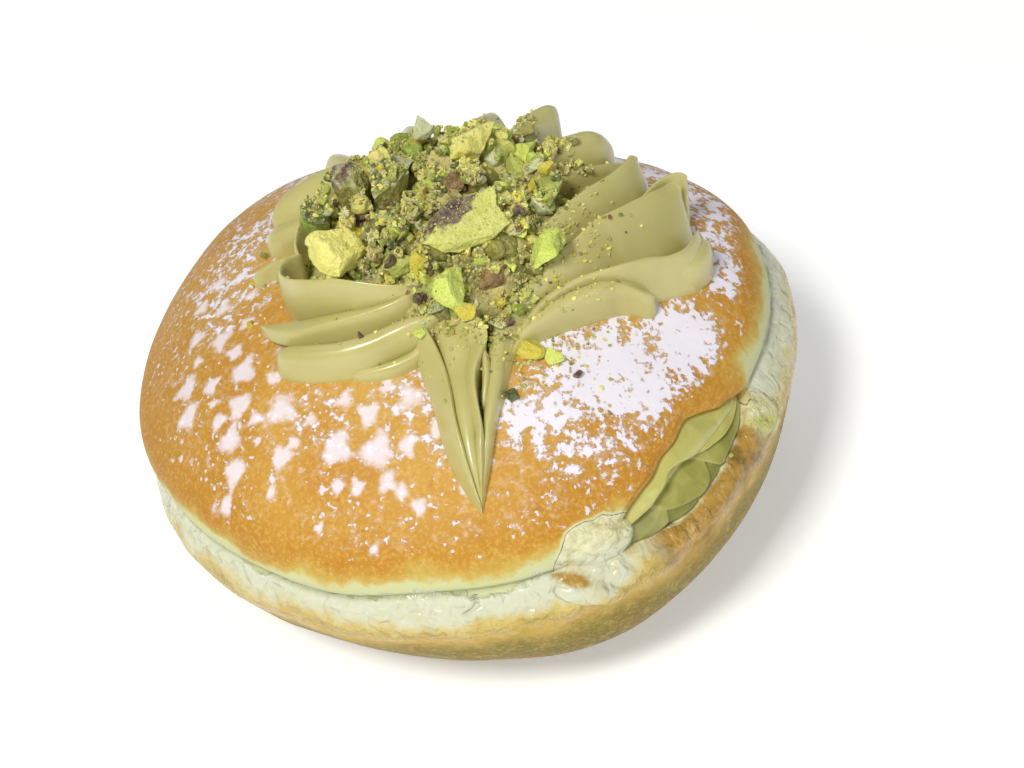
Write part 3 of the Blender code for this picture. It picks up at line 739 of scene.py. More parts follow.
    def warped(self, paint: Paint) -> Socket:
        """The object's coordinates, shaken by a fine noise so that dots become flakes."""
        shake = paint.add("TexNoise", {"Vector": paint.place, "Scale": 1 / (0.8 * MM)}, "Color")
        scaled = paint.add("VectorMath", {0: shake, 3: 0.0006}, operation="SCALE")
        return paint.add("VectorMath", {0: paint.place, 1: scaled}, operation="ADD")


class Patch(NamedTuple):
    """One cake of sugar: its place in plan, half size and how thick it lies."""

    x: float
    y: float
    size: float
    amount: float = 1.0


@dataclass
class Bun:
    """The fried bun, with its mouth cut in and its sugar laid out."""

    shape: BunShape = BUN
    gape: GapeShape = GAPE
    columns: int = 400
    rows_below: int = 72
    rows_above: int = 118
    patches: tuple = (
        (-31, -12, 2.5), (-40, -8, 2.2), (-36, -11, 1.6), (-32, -17, 2.2), (-35.5, -17, 1.5),
        (-30, -20, 1.3, 0.9), (-26, -20.5, 2.9, 0.84), (-34, -20.5, 2.1), (-40, -12.5, 2.1),
        (-26.5, -15.5, 1.6, 0.84), (-34, -24.5, 2), (-27, -26.5, 1.9), (-25, -25.5, 1.2),
        (-19, -28.5, 2.5), (-13.6, -30.5, 2.8), (-9.4, -31, 1.7), (-14, -25.6, 1.9), (-19.6, -32.8, 1.2),
        (-17, -33.8, 1.3), (-12.8, -34.5, 1.8, 0.84), (-11, -36, 1.3, 0.84), (-36, -27, 1.4),
        (-38, -26, 1.1), (-9, -38.5, 1.4, 0.84), (-5, -30, 1.6), (-8, -25, 2.6, 0.84),
        (-11, -22.5, 1.6, 0.8), (-17, -22.8, 1.8, 0.8), (-29, -29.5, 1.1, 0.84), (-32, -8, 1.6),
        (-34, -4, 2.2, 0.9), (-30, -3.5, 1.5, 0.9), (-38, 0, 1.9, 0.84), (-33.5, 2.5, 1.9, 0.84),
        (-37, 6, 1.8, 0.84), (-29, 2, 1.3, 0.84), (-34, 9, 2, 0.84), (-36, -14, 0.9), (-30, -23, 0.8),
        (-38, -5, 1.2, 0.84), (-22, -23.5, 1.3, 0.84), (-2.5, -38, 1.2, 0.8), (-23, -36, 0.8),
        (-16, -41, 0.9, 0.84))
    clouds: tuple = (
        (9, -30, 9, 6.5, 0.6), (21, -24, 13, 9.5, 0.84), (31, -18, 8, 7, 0.84), (14, -22, 8, 5, 0.72),
        (14, -34.5, 10, 4.6, 0.52), (38, -2, 7, 9, 0.66), (39.5, 12, 9, 10, 0.62), (31, 24, 10, 9, 0.58),
        (-2, -27, 5, 6, 0.44), (-33, 5, 9, 12, 0.38), (-28, 15, 8, 9, 0.44), (-16, 30, 14, 9, 0.46),
        (10, 34, 14, 8, 0.5), (39.5, -15, 5, 5, 0.34), (-8, -25, 5, 4, 0.46), (-5, -31, 3, 5, 0.42),
        (-20, -24, 9, 4, 0.3))
    flare: tuple[float, ...] = (2.5, 1.6, 1.3, 1.0, 0.75, 0.5, 0.3, 0.12, 0.0, -0.6, -3.0)   # under the skin
    crack_angle: float = math.radians(-95.0)
    pad_place: tuple[float, float] = (-18.0, 7.2)            # side and height of the overhanging lobe
    pad_size: tuple[float, float, float] = (5.0, 4.3, 2.7)   # half sizes sideways, up and out
    puff_place: tuple[float, float] = (-21.8, 2.0)           # side and height of the puff below the lobe
    puff_size: tuple[float, float, float] = (4.4, 2.4, 2.9)

    def dents(self, angle: Array, height: Array, plain: Array) -> Array:
        """Fine relief: soft lumps, and in the pale skin long wrinkles, a fold and a crack."""
        above = height - self.shape.crease_height(angle)
        slow = 0.28 * value_noise(plain, 13.0, 1) + 0.16 * value_noise(plain, 6.0, 2)
        belt = bell(above + 3.6, 2.6)
        stretched = plain * np.array([0.30, 0.30, 1.9])
        wrinkles = 0.32 * belt * value_noise(stretched, 2.2, 3) + 0.15 * belt * value_noise(plain, 1.7, 4)
        fold = -0.28 * bell(above + 2.3 + 0.6 * np.sin(9 * angle), 0.35)
        fold = fold * smooth_step(value_noise(plain, 11.0, 5), -0.3, 0.4)
        crack_angle = self.crack_angle + 0.012 * np.sin(1.9 * height) + 0.01 * np.sin(4.3 * height)
        crack = bell((angle - crack_angle) * 45, 0.24)
        crack = -0.80 * crack * smooth_step(-above, 0.2, 1.0) * smooth_step(above, -6.2, -4.8)
        return slow + wrinkles + fold + crack

    def rings(self) -> Array:
        """Rings from inside the flat foot out and up to the top, gathered at the crease."""
        angle = around(self.columns) - math.pi
        crease = self.shape.latitude(self.shape.crease_height(angle))
        foot = float(self.shape.latitude(np.array(-self.shape.flat_foot)))
        below = np.linspace(0, 1, self.rows_below)[:0:-1] ** 1.35
        above = np.linspace(0, 1, self.rows_above, endpoint=False) ** 1.25
        latitude = np.concatenate([crease + np.multiply.outer(below, foot - crease),
                                   crease + np.multiply.outer(above, math.pi / 2 - crease)])
        crust = self.shape.points(np.broadcast_to(angle, latitude.shape), latitude, 0.0, self.dents)
        foot_rings = crust[0] * np.array([0.25, 0.5, 0.75, 0.9])[:, None, None]
        foot_rings[..., 2] = -self.shape.flat_foot
        crust[0, :, 2] = -self.shape.flat_foot
        return np.concatenate([foot_rings, crust])

    def mouth_cutter(self) -> bpy.types.Object:
        """The pocket with a mouth that flares as a quarter circle, which rounds the lip."""
        turn = around(220)
        rings = self.gape.tunnel(turn, -23.7, 0.0)
        lip = self.gape.lip
        for below in self.flare:
            inside = min(max(below, 0.0), lip)
            grow = lip - math.sqrt(max(lip ** 2 - (lip - inside) ** 2, 0.0))
            grow += 0.8 * max(-below, 0.0)
            side, height = self.gape.outline(turn, grow)
            reach = self.gape_reach(side, height) - below
            rings.append(self.gape.ring(reach, side, height))
        return skin_rings("mouth_cutter", np.array(rings))

    def puff(self, place: tuple[float, float], size: tuple[float, float, float], lean: float,
             tilt: float = 0.0) -> bpy.types.Object:
        """A puff of bare dough on the crust: a lumpy ellipsoid that follows the bun's curve.

        Args:
            place: Side and height of its middle.
            size: Half sizes sideways, up and out.
            lean: Way out for each step sideways.
            tilt: Way up for each step sideways.

        Returns:
            A closed object to join to the bun.
        """
        turn = around(90)
        latitude = np.linspace(-1.54, 1.54, 46)[:, None]
        rings = ellipsoid(size, latitude, turn)
        swell = 1 + 0.07 * value_noise(rings, 3.6, 7) + 0.025 * value_noise(rings, 1.4, 8)
        side, height, out = (rings[..., axis] * swell for axis in range(3))
        middle_side, middle_height = place
        reach = self.gape_reach(np.array([middle_side]), np.array([middle_height]))[0]
        return skin_rings("puff", self.gape.ring(reach - 1.3 + out + lean * side, middle_side + side,
                                                 middle_height + height + tilt * side))

    def gape_reach(self, side: Array, height: Array) -> Array:
        """Distance from the axis to the swollen crust at the mouth."""
        reach = self.shape.reach(side, height, self.gape.facing)
        angle = self.gape.facing + np.arctan2(side, reach)
        return reach + self.shape.relief(angle, height)

    def build(self) -> bpy.types.Object:
        """Make the bun, cut its mouth, store what the finish reads and dress it."""
        bun = skin_rings("crust_bun", self.rings())
        combine(bun, [self.mouth_cutter()], Join.CUT)
        combine(bun, [self.puff(self.pad_place, self.pad_size, 0.38)], Join.UNION)
        combine(bun, [self.puff(self.puff_place, self.puff_size, 0.48, -0.45)], Join.UNION)
        points = mesh_points(bun)
        self.store(bun, points)
        bun.data.shade_smooth()
        finish_piece(bun, CrustFinish().build(), ("bun",))
        return bun

    def torn(self, points: Array, ragged: Array) -> Array:
        """Bare crumb: where the skin is cut away at the mouth, and a tear past its right end."""
        angle, height = np.arctan2(points[:, 1], points[:, 0]), points[:, 2]
        out, side = self.gape.side_of(points)
        near = (out > 0) & (np.abs(side) < 19) & (height > -2) & (height < 16)
        skin = self.shape.radius * self.shape.plan_factor(angle) * self.shape.share_inside(height)
        depth = (skin + self.shape.relief(angle, height) - np.hypot(points[:, 0], points[:, 1])) * near
        tear = bell(side - 16.5, 4.2) * bell(height - 5.5 + 0.35 * (side - 14), 4.0)
        return np.maximum(smooth_step(depth + ragged, 0.9, 1.7),
                          smooth_step(tear + 0.5 * ragged, 0.45, 0.62) * (out > 0))

    def store(self, bun: bpy.types.Object, points: Array) -> None:
        """Store what the finish reads for each vertex.

        Args:
            bun: The piece.
            points: Places of its vertices, in millimetres.
        """
        height = points[:, 2]
        above = height - self.shape.crease_height(np.arctan2(points[:, 1], points[:, 0]))
        out, side = self.gape.side_of(points)
        front = out > 0
        ragged = 0.5 * value_noise(points, 1.6, 21)
        bare = self.torn(points, ragged)
        lower_lip = window(side, -15.0, -9.0, 11.0, 19.0) * window(-above, -1.5, 0.5, 5.0, 14.0) * front
        upper_lip = window(side, -14.5, -12.0, 14.0, 18.0) * smooth_step(above, -2.0, 0.0) * front
        pad = ((side - self.pad_place[0]) / 6.0) ** 2 + ((height - self.pad_place[1]) / 5.2) ** 2
        pad = front * (1 - smooth_step(pad + 0.3 * value_noise(points, 2.4, 22), 0.80, 1.15))
        toned = np.maximum(above, above + (6.5 - above) * upper_lip)
        # Painted shade along the crease, kept off the lobe.
        line = smooth_step(-np.abs(above + 0.1), -0.8, -0.1) * (1 - pad)
        gap = bell(side + 23.4, 1.9) * bell(height - 5.2 + 0.3 * (side + 23.4), 0.7)
        gap = smooth_step(gap + 0.2 * ragged, 0.30, 0.65) * front
        soaked = bell(height - 5.0 + 0.55 * (side - 15.0), 1.5) * bell(side - 16.0, 3.6)
        # The lobe's upper part takes the pale crumb colour: bare crumb, and painted light on a face that lies
        # in shade.
        crumb = np.maximum(bare, 0.65 * pad * smooth_step(height + ragged, 6.5, 9.5))
        sugar, speckle, cake = self.sugar(points, above)
        stored = {
            "over_crease": toned + (-3.6 - toned) * pad,
            "crease_shade": line * (1 - lower_lip) * (1 - upper_lip),
            "lip": np.maximum(lower_lip * (1 - pad) * (1 - bare), gap).clip(0, 1),
            # browned: darker towards the left side, painted shade together with uneven browning.
            "browned": smooth_step(-points[:, 0], 22.0, 42.0),
            "stain": 0.8 * smooth_step(soaked + 0.25 * ragged, 0.25, 0.8) * front,
            "bare": crumb, "cake": cake, "sugar": sugar - 1.2 * crumb, "speckle": speckle - crumb}
        for name, values in stored.items():
            set_values(bun, name, values)

    def sugar(self, points: Array, above: Array) -> tuple[Array, Array, Array]:
        """Sugar: round patches with a soft edge, and clouds; both fade out towards the belt."""
        patches = np.zeros(len(points))
        for index, patch in enumerate(Patch(*row) for row in self.patches):
            far = np.hypot(points[:, 0] - patch.x, points[:, 1] - patch.y) / (0.86 * patch.size)
            turn = np.arctan2(points[:, 1] - patch.y, points[:, 0] - patch.x) + 2.4 * index
            far = far * (1 + 0.16 * np.cos(3 * turn) + 0.12 * np.cos(4 * turn + index))
            patches = np.maximum(patches, patch.amount * (1.30 - 0.95 * far ** 1.5))
        clouds = np.zeros(len(points))
        for x, y, wide, long, amount in self.clouds:
            far = ((points[:, 0] - x) / wide) ** 2 + ((points[:, 1] - y) / long) ** 2
            clouds = np.maximum(clouds, amount * np.exp(-far ** 1.5))
        top = smooth_step(points[:, 2], 4.0, 11.0) * smooth_step(above, 3.0, 8.0)
        veins = 0.10 * (1 - np.abs(value_noise(points, 8.0, 31)) * 3).clip(0, 1)
        veins = veins + 0.08 * value_noise(points, 4.0, 32)
        field_value = np.maximum(np.maximum(0.30 * patches, clouds), 0.08) + veins
        speckle = 0.16 + 0.40 * np.clip(clouds, 0, 1) + 0.22 * smooth_step(patches, -0.4, 0.5)
        return field_value * top - 0.7 * (1 - top), speckle * top - 0.4 * (1 - top), patches * top


@dataclass(frozen=True)
class Sheet:
    """One fold of the filling: its lower edge as side and height, how far it stands out."""

    edge: tuple[tuple[float, float], ...]
    lift: float
    slope: float = 0.15
    roll: float = 0.9

    def relief(self, side: Array, height: Array) -> Array:
        """A rolled lower edge, lift * sqrt(1 - (1 - d/roll)^2), that slopes back as it rises."""
        line = curve_through(self.edge, 60)
        above = height - np.interp(side, line[:, 0], line[:, 1])
        beyond = np.maximum(line[:, 0].min() - side, side - line[:, 0].max())
        above = above - 2.5 * np.clip(beyond, 0, None)
        roll = np.sqrt(np.clip(1 - (1 - np.clip(above / self.roll, 0, 1)) ** 2, 0, 1))
        return self.lift * roll - self.slope * np.clip(above, 0, None) - 4.0 * np.clip(-above, 0, None)


@dataclass(frozen=True)
class FillingFinish:
    """Glossy, olive-green filling."""

    name: str = "pistachio_filling"
    # From painted shade in the recesses to painted highlight on the foremost folds.
    shade_to_highlight: tuple = ((0.0, (88, 92, 32)), (0.45, (148, 146, 68)), (1.0, (202, 196, 110)))

    def build(self) -> bpy.types.Material:
        """Make the material: painted shade in the recesses and painted highlight on the foremost folds, with
        a little streak, under a wet shine.
        """
        paint = Paint(self.name)
        streak = paint.spread(paint.noise(4.0, 3.0, 0.5, 0.8), 0.3, 0.7, -0.12, 0.12)
        # The stored fold level, from painted shade to painted highlight.
        painted_light_level = paint.sum(paint.value("fold"), streak)
        paint.set(Base_Color=paint.ramp(painted_light_level, self.shade_to_highlight), Roughness=0.24,
                  Subsurface_Weight=0.15, Subsurface_Radius=(0.0012, 0.001, 0.0004),
                  Subsurface_Scale=1.0, Coat_Weight=0.25, Coat_Roughness=0.15)
        paint.set(Normal=paint.bump(paint.noise(1.2, 3.0, 0.5), 0.05, 0.5))
        return paint.material


@dataclass
class Filling:
    """The filling in the mouth: lapping folds outside, and a plain body that runs in."""

    bun: Bun
    recess: float = 1.7
    steps: int = 70
    wrinkle: tuple = ((0.5, 0, 0), (0.9, 1.5, 0), (0, 0, 1))     # shears its noise along the folds
    sheets: tuple[Sheet, ...] = (
        Sheet(((-18, 6.8), (-10.3, 8.4), (-8.2, 9.2), (-6.3, 9.9), (-4.4, 10.8), (-2.3, 10.6),
               (0.4, 9.5), (2.8, 8.7), (5.5, 8.3), (8.2, 8.0), (11.2, 8.0), (16, 8.6)), 2.3, 0.22),
        Sheet(((-3.6, 10.4), (0.3, 9.1), (2.0, 7.9), (4.4, 6.0), (7.9, 4.4), (12, 5.2), (15, 7.5)),
              1.6, 0.28),
        Sheet(((-11, 9.2), (-9.8, 8.2), (-7.3, 6.6), (-5.4, 6.0), (-2.6, 5.5), (-0.5, 5.2),
               (1.4, 5.9), (2.4, 7.6)), 1.2, 0.10),
        Sheet(((-17, 5.5), (-13.4, 4.2), (-11.2, 4.0), (-9.4, 4.2), (-7.8, 5.1), (-7.0, 6.6)),
              1.0, 0.06),
        Sheet(((-9, 5.4), (-7.6, 4.5), (-5, 4.1), (-0.8, 4.3), (3.0, 4.0), (6.0, 4.4)), 0.5, 0.05))

    def folds(self, side: Array, height: Array) -> Array:
        """The foremost of the sheets at each place."""
        relief = np.full_like(side, -0.9)
        for sheet in self.sheets:
            relief = np.maximum(relief, sheet.relief(side, height))
        return relief

    def build(self) -> bpy.types.Object:
        """Make the filling and dress it."""
        gape = self.bun.gape
        turn = around(260)
        rings = gape.tunnel(turn, -23.4, 0.04)
        rim_side, rim_height = gape.outline(turn, -0.04)
        for share in np.linspace(1.0, 0.01, self.steps):
            side = gape.middle + (rim_side - gape.middle) * share
            middle = gape.level + gape.tilt * side + 0.8
            height = middle + (rim_height - middle) * share
            relief = self.folds(side, height) * (1 - share ** 10)
            place = np.stack([side, height, np.zeros_like(side)], axis=-1)
            relief = relief + 0.08 * value_noise(place, 2.6, 41)
            relief = relief + 0.22 * value_noise(place @ np.array(self.wrinkle), 2.2, 43)
            rings.append(gape.ring(self.bun.gape_reach(side, height) - self.recess
                                   - 0.2 * share ** 10 + 0.85 * relief, side, height))
        filling = skin_rings("folded_filling", np.array(rings))
        points = mesh_points(filling)
        out, side = gape.side_of(points)
        # Painted shade and highlight: darker where the folds lie back, lighter on the foremost folds and
        # higher up; the finish reads it as fold.
        fold = smooth_step(self.folds(side, points[:, 2]), -0.9, 2.2)
        set_values(filling, "fold", fold * 0.75 + 0.25 * smooth_step(points[:, 2], 4.0, 12.0))
        finish_piece(filling, FillingFinish().build(), ("filling",))
        return filling


@dataclass(frozen=True)
class CreamFinish:
    """Smooth piped pistachio cream with a satin shine."""

    name: str = "piped_pistachio_cream"
    khaki: tuple = ((0.3, (192, 183, 112)), (0.7, (205, 197, 130)))
    ground_nut: Colour = (176, 160, 88)

    def build(self) -> bpy.types.Material:
        """Make the material: a khaki that varies slightly, with fine ground nut in it."""
        paint = Paint(self.name)
        base = paint.ramp(paint.noise(9.0, 3.0, 0.5), self.khaki)
        grain = paint.times(paint.cloud(0.35, 2.0, 0.5, 0.66, 0.74), 0.25)
        paint.set(Base_Color=paint.mix(grain, base, self.ground_nut), Roughness=0.32,
                  Coat_Weight=0.5, Coat_Roughness=0.20, Subsurface_Weight=0.12,
                  Subsurface_Radius=(0.0014, 0.0011, 0.0005), Subsurface_Scale=1.0)
        relief = paint.bump(paint.noise(0.6, 3.0, 0.5), 0.03, 0.5)
        paint.set(Normal=paint.bump(paint.noise(3.0, 2.0, 0.5), 0.12, 0.5, relief))
        return paint.material


Profile = float | tuple[float, ...]


def along_path(profile: Profile, count: int) -> Array:
    """A size at even steps of a path: constant, or a smooth curve through the given sizes."""
    if isinstance(profile, tuple):
        return curve_through([(value,) for value in profile], count)[:, 0]
    return np.full(count, float(profile))


@dataclass(frozen=True)
class Blade:
    """One ridge of cream: its crest, its half thickness on each side, and how it ends.

    A size can be one number, or several that are spread evenly along the crest.
    """

    crest: tuple[tuple[float, float, float], ...]
    near: Profile                            # half thickness on the right of the way out
    far: Profile                             # and on the left
    edge: Profile = 0.9                      # half thickness of the rounded crest
    hollow: tuple[float, float] = (1.2, 1.2)  # near, far: 1 is a straight flank, more is hollow
    lean: Profile = 0.0                      # shift of the foot to the left
    root: float = 0.6                        # share of the thickness where the ridge starts
    tip: float = 0.86                        # share of the length after which it rounds off
    stoop: float = 0.35                      # share of the height that the crest loses at its end
    taper: float = 0.0                       # share of the thickness lost on the way
    curl: Profile = 0.0                      # how far the crest hangs over to the left
    scoop: Profile = 0.0                     # depth of a groove along the top
    sunk: float = 1.6                        # depth of the foot under the crust
    deep: Profile = 99.0                     # most that the foot lies under the crest

    def rings(self, sections: int = 110, sides: int = 64) -> Array:
        """Carry the section along the crest.

        With u the height from foot to crest, a flank stands out by edge * sqrt(1 - u^8) plus
        (width - edge) * (1 - u)^hollow, and it closes under the crust.  The crest hangs over by
        curl * u^5, and the groove sinks it by scoop * exp(-(offset / 0.55 edge)^2).

        Args:
            sections: Number of sections along the crest.
            sides: Number of points round a section.

        Returns:
            Places by section, by point and by axis.
        """
        crest = curve_through(self.crest, sections)
        share = np.linspace(0, 1, sections)
        along = np.gradient(crest, axis=0)
        along[:, 2] = 0
        along /= np.linalg.norm(along, axis=1)[:, None]
        left = np.stack([-along[:, 1], along[:, 0], np.zeros(sections)], axis=1)
        ending = np.clip(share - self.tip, 0, 1) / (1 - self.tip)
        rounding = np.sqrt(np.clip(1 - ending ** 2, 2e-3, 1))
        swell = (self.root + (1 - self.root) * smooth_step(share, 0.0, self.tip)) * rounding
        swell = (swell * (1 - self.taper * share))[:, None]
        foot = crest - along_path(self.lean, sections)[:, None] * left
        ground = BUN.crust_top(foot[:, 0], foot[:, 1]) - self.sunk
        foot[:, 2] = np.maximum(ground, crest[:, 2] - along_path(self.deep, sections))
        crest[:, 2] -= self.stoop * (1 - rounding) * (crest[:, 2] - foot[:, 2])
        turn = around(sides)
        rise = (1 + np.cos(turn)) / 2
        right_side = np.sin(turn) <= 0
        near, far = along_path(self.near, sections), along_path(self.far, sections)
        width = np.where(right_side, near[:, None], far[:, None]) * swell
        edge = along_path(self.edge, sections)[:, None]
        edge = np.minimum(edge * rounding[:, None] * (1 - 0.7 * self.taper * share[:, None]), width)
        hollow = np.where(right_side, self.hollow[0], self.hollow[1])
        flank = edge * np.sqrt(np.clip(1 - rise ** 8, 0, 1)) + (width - edge) * (1 - rise) ** hollow
        flank = flank * np.sqrt(np.clip(1 - (1 - rise) ** 14, 0, 1)) * np.sign(np.sin(turn))
        groove = np.exp(-(flank / (0.55 * edge)) ** 2) * smooth_step(rise, 0.5, 0.9)
        flank = flank + (along_path(self.curl, sections) * rounding)[:, None] * rise ** 5
        line = foot[:, None, :] + rise[None, :, None] * (crest - foot)[:, None, :]
        line[..., 2] -= groove * along_path(self.scoop, sections)[:, None]
        return line + flank[..., None] * left[:, None, :]


